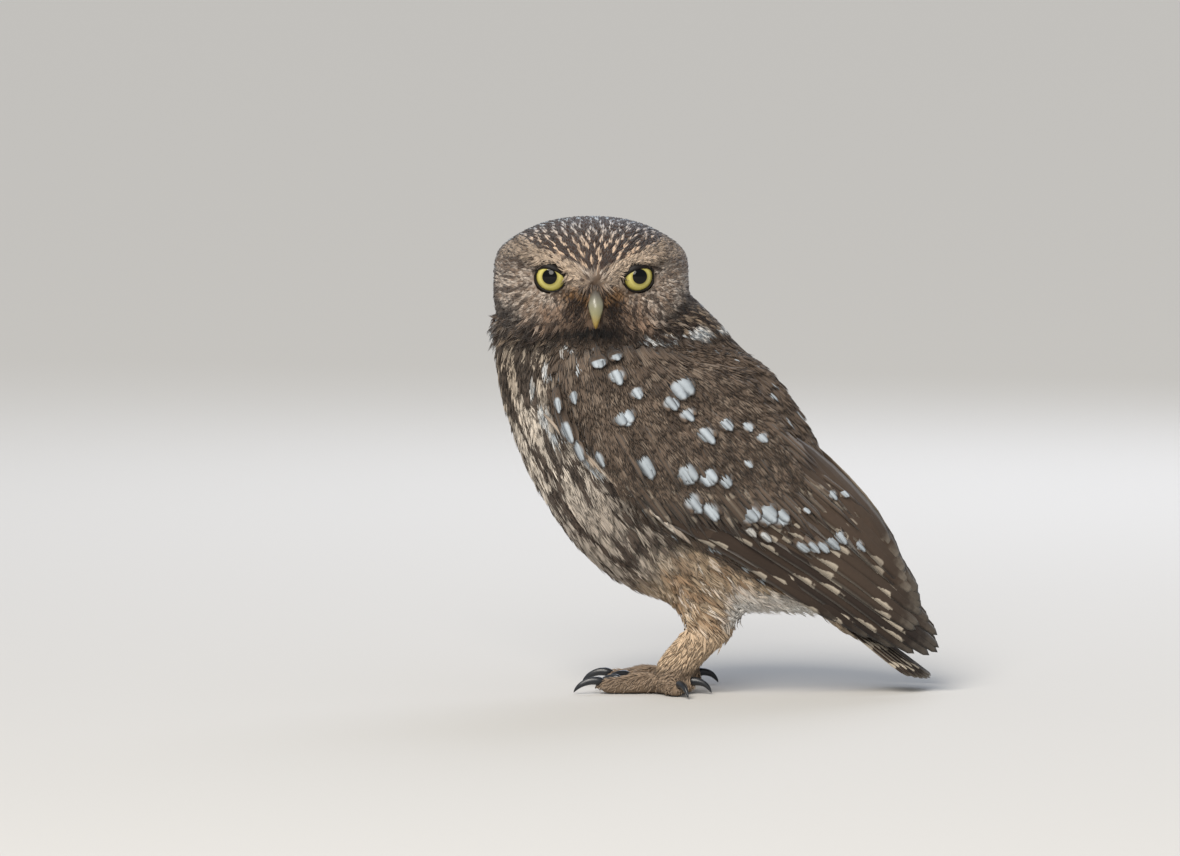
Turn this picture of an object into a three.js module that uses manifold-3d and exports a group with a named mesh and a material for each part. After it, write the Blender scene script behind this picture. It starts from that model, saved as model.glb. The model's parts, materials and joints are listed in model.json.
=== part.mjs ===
// A life-size little owl standing on a flat floor: the body in profile towards -X, the head turned to face -Y.
// Millimetres, +Z up. The owl's left side faces -Y. The origin is the centre of the base, on the floor.
import * as THREE from "three";
import { mergeVertices } from "three/addons/utils/BufferGeometryUtils.js";
import Module from "manifold-3d";

const wasm = await Module();
wasm.setup();

// Driving dimensions, in millimetres and degrees.
const GAP = 0.3; // kept between touching parts
const FAR = 300; // well past the owl on every side
const HEAD_CENTRE = new THREE.Vector3(-17.6, -3, 146);
const HEAD_TURN = 3; // how far the face looks past the square view, to +X
const HEAD_HALF_WIDTH = 35.5;
const HEAD_HALF_DEPTH = 27;
const CROWN_HEIGHT = 25.5;
const CHIN_DEPTH = 23;
const EYE_RADIUS = 6.9;
const EYE_OPENING = 5.6; // radius of the ring of the lids
const EYE_SPACING = 29.2;
const EYE_HEIGHT = 4.3; // above the middle of the head
const BILL_HALF_WIDTH = 3;
const BILL_HALF_HEIGHT = 4;
const LOWER_BILL_HALF_HEIGHT = 2.6;
const NOSTRIL_RADIUS = 0.75;
const HEAD_CUT = 125; // height of the joint between head and neck
const NECK_CUT = 112; // height of the joint between neck and torso
const VANE_THICKNESS = 0.6;
const TAIL_TILT = 37; // the tail's slope down from level
const TAIL_ROOT = new THREE.Vector3(66, 0, 34.5);
const TAIL_ARCH = 0.016; // how much lower the outer tail feathers hang, for each square of the distance across
const LEG_SIDE = 15; // from the middle plane to each foot
const TOE_HEIGHT = 8;

// Cross-sections of the trunk from the neck to the root of the tail. Each joins a point of the breast
// outline to a point of the back outline (x, z) and has a half width across the body.
const TRUNK = [
  { breast: [-44, 150], back: [10, 151], half: 14 },
  { breast: [-52, 137], back: [22, 140], half: 20 },
  { breast: [-54.5, 124.5], back: [33, 129], half: 26.5 },
  { breast: [-53, 110], back: [46, 116.5], half: 30.5 },
  { breast: [-48.5, 93.5], back: [57, 101.5], half: 32.5 },
  { breast: [-41.5, 76.5], back: [64, 87], half: 32.5 },
  { breast: [-31, 59], back: [69, 71.5], half: 31.5 },
  { breast: [-17, 43], back: [73, 57.5], half: 29 },
  { breast: [3, 32], back: [77, 46], half: 26 },
  { breast: [27, 28], back: [80, 38], half: 21.5 },
  { breast: [51, 28], back: [81.5, 32.5], half: 16 },
  { breast: [66, 25.5], back: [82, 28], half: 11.5 },
];

// The surface that the folded wings lie on, given in the same way, out to the wing tips.
const WING_SURFACE = [
  { breast: [-44, 150], back: [9, 150], half: 20.5 },
  { breast: [-51.5, 137], back: [20, 139.5], half: 26 },
  { breast: [-54, 124.5], back: [31, 129], half: 31 },
  { breast: [-53, 110], back: [45, 116.5], half: 33.5 },
  { breast: [-48.5, 93.5], back: [58, 101.5], half: 34.5 },
  { breast: [-41.5, 76.5], back: [67, 86], half: 34.5 },
  { breast: [-31, 59], back: [75, 70.5], half: 33.5 },
  { breast: [-17.5, 42], back: [82, 57], half: 31 },
  { breast: [2, 29], back: [88, 46], half: 27.5 },
  { breast: [27, 22.5], back: [94, 36], half: 23 },
  { breast: [54, 22.5], back: [99, 31.5], half: 18.5 },
  { breast: [75.5, 14.5], back: [104.5, 24.5], half: 15 },
  { breast: [95.5, 3.5], back: [109.5, 16], half: 12 },
  { breast: [106, -3.5], back: [113.5, 6.5], half: 9.5 },
];

// Rows of vanes on a folded wing, the innermost layer first. Roots and tips run from the lowest vane to the
// highest, and are points of the side view (x, z); lift is the height over the wing's surface.
const WING_ROWS = [
  { count: 7, roots: [[0, 72], [14, 77], [36, 79]], tips: [[76, 24], [119, 2], [103.5, 26]], width: 6.4, lift: 0.8 },
  { count: 4, roots: [[21, 79], [38, 86], [54, 88]], tips: [[103, 26], [104, 31], [96, 40]], width: 8, lift: 2.8 },
  { count: 3, roots: [[43, 87], [50, 90], [56, 92]], tips: [[97, 35], [94, 43], [89, 52]], width: 10, lift: 4.8 },
  { count: 6, roots: [[-14, 95], [14, 99], [42, 94]], tips: [[15, 57], [58, 47], [82, 61]], width: 14.5, lift: 5.6 },
  { count: 5, roots: [[-20, 104], [4, 107], [28, 101]], tips: [[2, 78], [30, 71], [57, 84]], width: 15, lift: 7.2 },
];

// Toes from the joint of the foot: direction from straight ahead (outwards is positive), length of the toe,
// and length of its claw.
const TOES = [
  { name: "hind", turn: 168, reach: 12, claw: 7 },
  { name: "inner", turn: -24, reach: 19, claw: 8.5 },
  { name: "middle", turn: 4, reach: 24, claw: 9 },
  { name: "outer", turn: 112, reach: 17, claw: 8 },
];

const degrees = THREE.MathUtils.degToRad;
const { clamp, lerp, smoothstep } = THREE.MathUtils;

// A closed geometry: a sphere's grid with each point placed by a function of the angle around it (radians)
// and of how far along it lies (0 to 1).
function wrapped(around, along, place) {
  const geometry = new THREE.SphereGeometry(1, around, along);
  const { position, uv } = geometry.attributes;
  for (let i = 0; i < position.count; i++) {
    const point = place(uv.getX(i) * 2 * Math.PI, 1 - uv.getY(i));
    position.setXYZ(i, point.x, point.y, point.z);
  }
  return geometry;
}

// The solid of a geometry, with its faces turned outwards.
function solidOf(geometry) {
  const bare = geometry.clone();
  bare.deleteAttribute("normal");
  bare.deleteAttribute("uv");
  const merged = mergeVertices(bare, 1e-3);
  const points = merged.attributes.position.array;
  const faces = new Uint32Array(merged.index.array);
  const make = () => new wasm.Manifold(new wasm.Mesh({ numProp: 3, vertProperties: points, triVerts: faces }));
  const solid = make();
  if (solid.volume() > 0) return solid;
  for (let i = 0; i < faces.length; i += 3) [faces[i + 1], faces[i + 2]] = [faces[i + 2], faces[i + 1]];
  return make();
}

// One solid from many, without the loose scraps: only the largest closed surface stays.
function fused(solids) {
  return largest(solids.reduce((sum, solid) => sum.add(solid)));
}

function largest(solid) {
  const pieces = solid.decompose();
  return pieces.reduce((best, piece) => (piece.volume() > best.volume() ? piece : best));
}

// A mesh of a solid, with its name and finish.
function part(name, solid, finish) {
  const mesh = solid.getMesh();
  const geometry = new THREE.BufferGeometry();
  geometry.setAttribute("position", new THREE.BufferAttribute(Float32Array.from(mesh.vertProperties), 3));
  geometry.setIndex(new THREE.BufferAttribute(Uint32Array.from(mesh.triVerts), 1));
  const made = new THREE.Mesh(geometry, finish);
  made.name = name;
  return made;
}

// A level slab of space between two heights, wide enough to hold the whole owl.
function layer(bottom, top) {
  const box = new THREE.BoxGeometry(2 * FAR, 2 * FAR, top - bottom);
  return solidOf(box.translate(0, 0, (bottom + top) / 2));
}

// A point of a bent line through three points, at a share of its length.
function onBend(points, share) {
  const [start, pull, end] = points.map(([x, z]) => new THREE.Vector2(x, z));
  return new THREE.QuadraticBezierCurve(start, pull, end).getPoint(share);
}

// Signed power, for sections squarer than an ellipse.
const bulged = (value, power) => Math.sign(value) * Math.abs(value) ** power;

// Smooth outlines through a list of cross-sections.
function outlines(sections) {
  const smooth = (points) => new THREE.CatmullRomCurve3(points, false, "catmullrom", 0.5);
  const breast = smooth(sections.map((s) => new THREE.Vector3(s.breast[0], s.half, s.breast[1])));
  const back = smooth(sections.map((s) => new THREE.Vector3(s.back[0], s.half, s.back[1])));
  return (share) => {
    const front = breast.getPoint(share);
    const rear = back.getPoint(share);
    return { front, rear, half: front.y };
  };
}

const trunkOutline = outlines(TRUNK);
const wingOutline = outlines(WING_SURFACE);
const SECTION_POWER = 0.9; // a section of the body is a little squarer than an ellipse

// A point of the trunk's surface. The angle is 0 at the breast and a half turn at the back.
function trunkPoint(angle, share, grow) {
  const topCap = 0.07;
  const tailCap = 0.09;
  const fromTop = Math.min(1, share / topCap);
  const fromTail = Math.min(1, (1 - share) / tailCap);
  const cap = Math.sqrt(1 - (1 - fromTop) ** 2) * Math.sqrt(1 - (1 - fromTail) ** 2);
  const { front, rear, half } = trunkOutline(share);
  const middle = new THREE.Vector3((front.x + rear.x) / 2, 0, (front.z + rear.z) / 2);
  const across = new THREE.Vector3(front.x - middle.x, 0, front.z - middle.z);
  const depth = across.length();
  const forward = bulged(Math.cos(angle), SECTION_POWER) * (1 + grow / depth) * cap;
  const sideways = bulged(Math.sin(angle), SECTION_POWER) * (half + grow) * cap;
  return middle.addScaledVector(across, forward).setY(sideways);
}

function trunkSolid(grow) {
  return solidOf(wrapped(28, 24, (angle, share) => trunkPoint(angle, share, grow)));
}

// Where a point of the side view lies on the wing's surface: the share along it and the place across it,
// from -1 at the breast to 1 at the back.
function onWingSurface(x, z) {
  let low = 0;
  let high = 1;
  const ahead = (share) => {
    const { front, rear } = wingOutline(share);
    return (rear.x - front.x) * (z - front.z) - (rear.z - front.z) * (x - front.x);
  };
  for (let step = 0; step < 24; step++) {
    const share = (low + high) / 2;
    if (ahead(share) > 0) high = share;
    else low = share;
  }
  const { front, rear, half } = wingOutline(low);
  const dx = rear.x - front.x;
  const dz = rear.z - front.z;
  const across = (2 * ((x - front.x) * dx + (z - front.z) * dz)) / (dx * dx + dz * dz) - 1;
  return { across, half };
}

// How far out the wing's surface lies at a point of the side view.
function wingWidth(x, z) {
  const furthest = 0.965;
  const { across, half } = onWingSurface(x, z);
  const reach = clamp(Math.abs(across), 0, furthest);
  return half * (1 - reach ** (2 / SECTION_POWER)) ** (SECTION_POWER / 2);
}

// A point at a height over the wing's surface, on the side given by its sign.
function overWing(x, z, lift, side) {
  const step = 0.5;
  const out = wingWidth(x, z);
  const steepest = 1.6;
  const slopeX = clamp((wingWidth(x + step, z) - wingWidth(x - step, z)) / (2 * step), -steepest, steepest);
  const slopeZ = clamp((wingWidth(x, z + step) - wingWidth(x, z - step)) / (2 * step), -steepest, steepest);
  const normal = new THREE.Vector3(-slopeX, 1, -slopeZ).normalize();
  const point = new THREE.Vector3(x, out, z).addScaledVector(normal, lift);
  return point.setY(point.y * side);
}

// A vane: a flat feather with four edges and a blunt tip, each point placed by a function of the share
// along it, the side of it (-1 or 1) and the height in its thickness. Both faces split alike.
function vane(halfWidth, place) {
  const shares = [0, 0.45, 0.88, 1];
  const widths = [0.4, 1, 0.82, 0.24];
  const corners = [[-1, 1], [1, 1], [1, -1], [-1, -1]];
  const tipThinning = 0.5;
  const points = [];
  shares.forEach((share, i) => {
    const thick = (VANE_THICKNESS / 2) * lerp(1, tipThinning, share ** 3);
    for (const [side, face] of corners) {
      const point = place(share, side * widths[i] * halfWidth, face * thick);
      points.push(point.x, point.y, point.z);
    }
  });
  const faces = [0, 2, 1, 0, 3, 2];
  const innerFace = 2;
  for (let i = 0; i + 1 < shares.length; i++)
    for (let k = 0; k < 4; k++) {
      const a = 4 * i + k;
      const b = 4 * i + ((k + 1) % 4);
      if (k === innerFace) faces.push(a, b, a + 4, b, b + 4, a + 4);
      else faces.push(a, b, b + 4, a, b + 4, a + 4);
    }
  const last = 4 * (shares.length - 1);
  faces.push(last, last + 1, last + 2, last, last + 2, last + 3);
  const geometry = new THREE.BufferGeometry();
  geometry.setAttribute("position", new THREE.Float32BufferAttribute(points, 3));
  geometry.setIndex(faces);
  return solidOf(geometry);
}

// The vanes of one row of a folded wing. Each vane's lower edge lies over the vane below it.
function wingRow(row, side) {
  const shingle = 0.9; // how far each vane lies over the next, at the tips
  return Array.from({ length: row.count }, (_, i) => {
    const share = i / (row.count - 1);
    const root = onBend(row.roots, share);
    const tip = onBend(row.tips, share);
    const forward = tip.clone().sub(root);
    const length = forward.length();
    const up = new THREE.Vector2(-forward.y, forward.x).normalize();
    const onward = onBend(row.tips, share + 0.01).sub(onBend(row.tips, share - 0.01)).divideScalar(0.02);
    const spacing = Math.abs(onward.dot(up)) / (row.count - 1);
    const slope = Math.min(0.27, shingle / Math.max(spacing, 1));
    const bow = 0.03 * length;
    return vane(row.width / 2, (along, across, height) => {
      const bent = across + bow * Math.sin(Math.PI * along);
      const at = root.clone().addScaledVector(forward, along).addScaledVector(up, bent);
      const sunk = lerp(0.3, 1, smoothstep(along, 0, 0.4));
      const lift = row.lift * sunk + height - slope * across;
      return overWing(at.x, at.y, lift, side);
    });
  });
}

// The pad of the shoulder and small coverts: the trunk's side swollen inside an oval of the side view.
function wingPad(side) {
  const centre = new THREE.Vector2(20, 83);
  const halfLength = 68;
  const reachUp = 52;
  const reachDown = 29;
  const tilt = degrees(-32);
  const thickness = 4.8;
  const neckEdge = 127;
  return solidOf(
    wrapped(28, 24, (angle, share) => {
      const skin = trunkPoint(angle, share, 0);
      const from = new THREE.Vector2(skin.x, skin.z).sub(centre).rotateAround(new THREE.Vector2(), -tilt);
      const radius = Math.hypot(from.x / halfLength, from.y / (from.y > 0 ? reachUp : reachDown));
      const clearOfMiddle = smoothstep(skin.y * side, 2, 9);
      const clearOfHead = smoothstep(neckEdge - skin.z, 0, 9);
      const swell = smoothstep(1.12 - radius, 0, 0.34) * clearOfMiddle * clearOfHead;
      return trunkPoint(angle, share, lerp(-1, thickness, swell));
    }),
  );
}

// A point of the tail's surface: how far down the tail, how far across it, and the height over it.
function onTail(along, across, lift) {
  const down = new THREE.Vector3(Math.cos(degrees(TAIL_TILT)), 0, -Math.sin(degrees(TAIL_TILT)));
  const up = new THREE.Vector3(Math.sin(degrees(TAIL_TILT)), 0, Math.cos(degrees(TAIL_TILT)));
  const rise = lift - TAIL_ARCH * across * across;
  return TAIL_ROOT.clone().addScaledVector(down, along).addScaledVector(up, rise).setY(across);
}

// Twelve tail feathers in six pairs, the middle pair on top. None crosses the middle plane.
function tailVanes() {
  const pairs = 6;
  const length = 50;
  const halfWidth = 5;
  const layerStep = 0.85;
  const made = [];
  for (let pair = 0; pair < pairs; pair++)
    for (const side of [-1, 1]) {
      const spread = 3 + pair * 1.75;
      const reach = length - 0.3 * pair * pair;
      made.push(
        vane(halfWidth, (along, across, height) => {
          const out = Math.max(spread * lerp(0.6, 1, along) + across, GAP / 2);
          return onTail(reach * along, side * out, height - layerStep * pair);
        }),
      );
    }
  return made;
}

// The coverts round the root of the tail, over and under the vanes.
function tailCoverts() {
  const start = -6;
  const length = 27;
  return solidOf(
    wrapped(20, 12, (angle, share) => {
      const round = Math.sqrt(Math.max(0, 1 - (2 * share - 1) ** 2)) ** 0.6;
      const halfWidth = lerp(13, 10, share) * round;
      const above = lerp(4.5, 1.2, share) * round;
      const below = lerp(9, 6, share) * round;
      const across = halfWidth * Math.cos(angle);
      const lift = Math.sin(angle) * (Math.sin(angle) > 0 ? above : below);
      const flattened = lift + (TAIL_ARCH / 2) * across * across;
      return onTail(lerp(start, length, share), across, flattened);
    }),
  );
}

// A limb of round sections: each has its centre and its half sizes along and across the body.
function limb(sections, grow) {
  const smooth = (points) => new THREE.CatmullRomCurve3(points, false, "catmullrom", 0.5);
  const centres = smooth(sections.map((s) => new THREE.Vector3(...s.at)));
  const sizes = smooth(sections.map((s) => new THREE.Vector3(...s.half, 0)));
  return solidOf(
    wrapped(12, 9, (angle, share) => {
      const cap = 0.16;
      const end = Math.min(1, share / cap, (1 - share) / cap);
      const round = Math.sqrt(1 - (1 - end) ** 2);
      const at = centres.getPoint(share);
      const ahead = centres.getTangent(share);
      const side = new THREE.Vector3(0, 1, 0);
      const up = ahead.clone().cross(side).normalize();
      const size = sizes.getPoint(share);
      const out = up.multiplyScalar((size.x + grow) * round * Math.cos(angle));
      return at.add(out).addScaledVector(side, (size.y + grow) * round * Math.sin(angle));
    }),
  );
}

// The head's own frame has its face towards -Y and its middle at the origin. This is how far the face
// stands out from a plain ball at a point of the front view.
function faceRelief(x, z) {
  const side = Math.abs(x);
  const bump = (dx, dz, size) => Math.exp(-((side - dx) ** 2 + (z - dz) ** 2) / (2 * size * size));
  const socket = -3.4 * bump(EYE_SPACING / 2, EYE_HEIGHT - 0.5, 5.6);
  const browHeight = 3.6 + 0.46 * side - 0.005 * side * side;
  const browEnds = smoothstep(side, -2, 5) * (1 - smoothstep(side, 24, 32));
  const brow = 3.4 * Math.exp(-((z - browHeight) ** 2) / 9) * browEnds;
  const bristles = 3 * bump(3, -5, 4.6);
  const cheek = 1.8 * bump(19, -9.5, 6);
  const chin = 1.6 * bump(0, -16, 7);
  const disc = Math.hypot(x / 30, (z + 1) / 19.5);
  const ruff = 1.6 * Math.exp(-((disc - 1) ** 2) / 0.012) * smoothstep(-z, -8, 4);
  return socket + brow + bristles + cheek + chin + ruff;
}

// A point of the head: a broad, flat-crowned ball with the relief of the face.
function headPoint(angle, share, grow) {
  const crowding = 0.5; // brings the columns of the grid together on the face
  const turned = angle - Math.PI;
  const longitude = turned - crowding * Math.sin(turned);
  const latitude = (0.5 - share) * Math.PI;
  const flat = bulged(Math.cos(latitude), 0.9);
  const height = Math.sin(latitude) > 0 ? CROWN_HEIGHT : CHIN_DEPTH;
  const widening = 1 + 0.06 * smoothstep(-Math.sin(latitude), -0.3, 0.7);
  const x = (HEAD_HALF_WIDTH * widening + grow) * flat * bulged(Math.sin(longitude), 0.92);
  const y = -(HEAD_HALF_DEPTH + grow) * flat * bulged(Math.cos(longitude), 0.86);
  const z = (height + grow) * bulged(Math.sin(latitude), 0.82);
  const facing = smoothstep(Math.cos(longitude), 0.1, 0.6) * flat ** 0.5;
  return new THREE.Vector3(x, y - faceRelief(x, z) * facing, z);
}

// The angle to which each eye looks outwards, and its place in the head's frame.
const EYE_OUTWARD = 13;
const EYE_DEPTH = 18.4;
const eyePlace = (side) => new THREE.Vector3((side * EYE_SPACING) / 2, -EYE_DEPTH, EYE_HEIGHT);

function eyeBall(side, radius) {
  const at = eyePlace(side);
  return solidOf(new THREE.SphereGeometry(radius, 16, 10).translate(at.x, at.y, at.z));
}

// The lids of an eye: a thin cap over the ball with an oval opening, lower at the top than the iris.
function eyelids(side) {
  const at = eyePlace(side);
  const thickness = 1;
  const openingHeight = 4.3;
  const drop = 0.7;
  const cap = new THREE.SphereGeometry(EYE_RADIUS + GAP + thickness, 16, 10);
  const opening = new THREE.CylinderGeometry(EYE_OPENING, EYE_OPENING, 2 * EYE_RADIUS, 16);
  opening.scale(1, 1, openingHeight / EYE_OPENING).translate(0, -EYE_RADIUS, -drop);
  opening.rotateY(degrees(side * 14));
  for (const shape of [cap, opening]) shape.rotateZ(degrees(side * EYE_OUTWARD)).translate(at.x, at.y, at.z);
  return { cap: solidOf(cap), opening: solidOf(opening) };
}

// The middle line of the upper bill, in the head's frame.
const UPPER_BILL = [[0, -20, -2], [0, -27, -2.4], [0, -31.6, -5.4], [0, -32.4, -9.4], [0, -30.8, -14]];

// A hooked half of the bill: round sections along an arc that curves down to a point.
function billHalf(path, halfWidth, halfHeight) {
  const arc = new THREE.CatmullRomCurve3(path.map((p) => new THREE.Vector3(...p)));
  return solidOf(
    wrapped(12, 9, (angle, share) => {
      const at = arc.getPoint(share);
      const ahead = arc.getTangent(share);
      const over = new THREE.Vector3(1, 0, 0).cross(ahead).normalize();
      const taper = Math.sqrt(Math.min(1, share / 0.1)) * (1 - share) ** 0.52;
      const across = halfWidth * taper * Math.cos(angle);
      return at.addScaledVector(over, halfHeight * taper * Math.sin(angle)).setX(at.x + across);
    }),
  );
}

function upperBill(grow) {
  return billHalf(UPPER_BILL, BILL_HALF_WIDTH * 1.25 + grow, BILL_HALF_HEIGHT + grow);
}

function lowerBill() {
  const path = [[0, -20, -8.6], [0, -25, -9.6], [0, -28.4, -11.4], [0, -30, -13.9]];
  return billHalf(path, BILL_HALF_WIDTH, LOWER_BILL_HALF_HEIGHT);
}

// The pits of the nostrils, at the sides of the bill's root.
function nostrils() {
  return [-1, 1].map((side) => {
    const pit = new THREE.SphereGeometry(NOSTRIL_RADIUS, 8, 6);
    return solidOf(pit.translate(side * 2.75, -28.4, -3));
  });
}

// A claw: a thin cone curved down from the end of its toe to just over the floor.
function claw(length, heading, root) {
  const baseRadius = 1.45;
  const ahead = new THREE.Vector3(Math.cos(heading), Math.sin(heading), 0);
  const drop = root.z - 0.4;
  const bends = [[-0.3, 0.1], [0.25, 0.16], [0.62, -0.12], [0.86, -0.55], [1, -1]];
  const path = bends.map(([out, rise]) => {
    const height = rise < 0 ? rise * drop : rise * length * 0.4;
    return root.clone().addScaledVector(ahead, out * length).add(new THREE.Vector3(0, 0, height));
  });
  const arc = new THREE.CatmullRomCurve3(path);
  const across = new THREE.Vector3(-ahead.y, ahead.x, 0);
  return solidOf(
    wrapped(7, 6, (angle, share) => {
      const at = arc.getPoint(share);
      const up = across.clone().cross(arc.getTangent(share)).normalize();
      const radius = baseRadius * Math.sqrt(Math.min(1, share / 0.12)) * (1 - share) ** 0.7;
      at.addScaledVector(up, radius * 1.15 * Math.sin(angle)).addScaledVector(across, radius * Math.cos(angle));
      return at.setZ(Math.max(at.z, 0.15));
    }),
  );
}

// A toe: a thick feathered finger with a flat sole on the floor.
function toe(reach, heading, joint, grow) {
  const ahead = new THREE.Vector3(Math.cos(heading), Math.sin(heading), 0);
  const across = new THREE.Vector3(-ahead.y, ahead.x, 0);
  const halfWidth = 4;
  const flattened = 0.7; // the depth by which the round underside is pressed flat
  return solidOf(
    wrapped(10, 8, (angle, share) => {
      const end = Math.min(1, share / 0.12, (1 - share) / 0.22);
      const round = Math.sqrt(Math.max(0, 1 - (1 - end) ** 2));
      const pad = 1 + 0.1 * Math.cos(share * 4.4 * Math.PI);
      const height = lerp(TOE_HEIGHT, TOE_HEIGHT * 0.72, share) * pad;
      const out = lerp(-2, reach, share) + (share > 0.5 ? 1 : -1) * grow;
      const wide = (lerp(halfWidth, halfWidth * 0.86, share) * pad + grow) * round * Math.cos(angle);
      const rise = height / 2 - flattened + (height / 2 + grow) * round * Math.sin(angle);
      const point = joint.clone().addScaledVector(ahead, out).addScaledVector(across, wide);
      return point.setZ(Math.max(0, rise));
    }),
  );
}

// Finishes: plain colours of the plumage and the bare parts.
const finish = (color, roughness = 0.85) => new THREE.MeshStandardMaterial({ color, roughness, metalness: 0 });
const CROWN_BROWN = finish("#6b5644");
const NECK_BROWN = finish("#5d4a3c");
const BREAST_STREAKED = finish("#8a7760");
const WING_BROWN = finish("#5a4838");
const TAIL_BROWN = finish("#54422f");
const LEG_BUFF = finish("#b8946a");
const TOE_BUFF = finish("#94775a");
const CLAW_BLACK = finish("#24262b", 0.35);
const BILL_HORN = finish("#a8a477", 0.4);
const EYE_YELLOW = finish("#d8cf4a", 0.08);

const owl = new THREE.Group();

// The head, neck and torso are one body, parted at two levels.
const headTurn = new THREE.Matrix4().makeRotationZ(degrees(HEAD_TURN)).setPosition(HEAD_CENTRE);
const placedOnHead = (solid) => solid.transform(headTurn.elements);
const headBall = (grow) => placedOnHead(solidOf(wrapped(36, 26, (angle, share) => headPoint(angle, share, grow))));
const trunk = trunkSolid(0);
const trunkGrown = trunkSolid(GAP);
const lids = [-1, 1].map(eyelids);
const sockets = [-1, 1].map((side) => placedOnHead(eyeBall(side, EYE_RADIUS + GAP)));
const body = fused([headBall(0), trunk, ...lids.map((lid) => placedOnHead(lid.cap))]);
const hollows = [...sockets, ...lids.map((lid) => placedOnHead(lid.opening))];
const above = layer(HEAD_CUT + GAP / 2, FAR);
const between = layer(NECK_CUT + GAP / 2, HEAD_CUT - GAP / 2);
const below = layer(-FAR, NECK_CUT - GAP / 2);

const nostrilPits = nostrils().map(placedOnHead);
const billTop = nostrilPits.reduce((bill, pit) => bill.subtract(pit), placedOnHead(upperBill(0)));
const head = hollows.reduce((rest, hollow) => rest.subtract(hollow), body.intersect(above));
const headGrown = headBall(GAP);
const upper = largest(billTop.subtract(headGrown));
const lower = largest(placedOnHead(lowerBill()).subtract(headGrown).subtract(placedOnHead(upperBill(GAP))));
owl.add(part("head", largest(head), CROWN_BROWN));
owl.add(part("neck", largest(body.intersect(between)), NECK_BROWN));
owl.add(part("torso", largest(body.intersect(below)), BREAST_STREAKED));
owl.add(part("bill_upper", upper, BILL_HORN));
owl.add(part("bill_lower", lower, BILL_HORN));
[-1, 1].forEach((side) => {
  const name = side < 0 ? "eye_right" : "eye_left";
  owl.add(part(name, placedOnHead(eyeBall(side, EYE_RADIUS)), EYE_YELLOW));
});

// The tail hangs from the end of the trunk.
const tail = largest(fused([tailCoverts(), ...tailVanes()]).subtract(trunkGrown));
owl.add(part("tail", tail, TAIL_BROWN));

// The folded wings lie on the trunk. The owl's left wing is on the -Y side.
for (const side of [-1, 1]) {
  const vanes = WING_ROWS.flatMap((row) => wingRow(row, side));
  const wing = largest(fused([wingPad(side), ...vanes]).subtract(trunkGrown).subtract(headGrown));
  owl.add(part(side < 0 ? "wing_left" : "wing_right", wing, WING_BROWN));
}

// Each leg has a feathered thigh under the trunk, a feathered shank and four toes with claws.
const FOOT_X = { left: 8, right: 11 };
for (const name of ["left", "right"]) {
  const side = name === "left" ? -1 : 1;
  const footX = FOOT_X[name];
  const footY = side * LEG_SIDE;
  const thighSections = [
    { at: [footX + 8, side * 10, 52], half: [15, 12] },
    { at: [footX + 13, side * 12, 42], half: [17, 12.5] },
    { at: [footX + 18, side * 13.5, 31], half: [13.5, 10.5] },
    { at: [footX + 20, side * 14.5, 22], half: [8.5, 8] },
  ];
  const shankSections = [
    { at: [footX + 21, side * 14.5, 27], half: [7.5, 7] },
    { at: [footX + 14, side * 14.8, 19.5], half: [6.8, 6.4] },
    { at: [footX + 6.5, footY, 12], half: [6.2, 6] },
    { at: [footX, footY, 4.6], half: [6, 6] },
  ];
  const thigh = largest(limb(thighSections, 0).subtract(trunkGrown));
  const onFloor = layer(0, FAR);
  const shank = limb(shankSections, 0).intersect(onFloor).subtract(trunkGrown).subtract(limb(thighSections, GAP));
  const joint = new THREE.Vector3(footX, footY, 0);
  owl.add(part(`thigh_${name}`, thigh, LEG_BUFF));
  const shankGrown = limb(shankSections, GAP);
  owl.add(part(`shank_${name}`, largest(shank), LEG_BUFF));
  const placed = [];
  for (const { name: toeName, turn, reach, claw: clawLength } of TOES) {
    const heading = Math.PI + side * -degrees(turn);
    const ahead = new THREE.Vector3(Math.cos(heading), Math.sin(heading), 0);
    let finger = toe(reach, heading, joint, 0).subtract(shankGrown);
    for (const other of placed) finger = finger.subtract(other);
    placed.push(toe(reach, heading, joint, GAP));
    owl.add(part(`toe_${name}_${toeName}`, largest(finger), TOE_BUFF));
    const root = joint.clone().addScaledVector(ahead, reach - 1).setZ(TOE_HEIGHT * 0.5);
    const nail = claw(clawLength, heading, root).subtract(toe(reach, heading, joint, GAP));
    owl.add(part(`claw_${name}_${toeName}`, largest(nail), CLAW_BLACK));
  }
}

// The middle of the base is the origin.
const box = new THREE.Box3().setFromObject(owl);
const middle = box.getCenter(new THREE.Vector3());
owl.position.set(-middle.x, -middle.y, -box.min.z);

export default owl;
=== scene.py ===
"""The looks of a life-size little owl: skin, feathers, eyes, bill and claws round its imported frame.

Shapes are drawn in millimetres in the drawing's frame, where the owl's middle plane is Y = 0, its left side
faces -Y and the floor is Z = 0. They are moved to the frame's metres when a mesh is made.
"""

import json
import logging
import math
from dataclasses import dataclass
from enum import Enum
from typing import Any, Callable, Sequence

import bmesh
import bpy
import numpy as np
from bmesh.types import BMesh
from bpy.types import Material, Mesh, Node, NodeSocket, NodeTree, Object
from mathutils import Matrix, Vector
from mathutils.bvhtree import BVHTree

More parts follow.
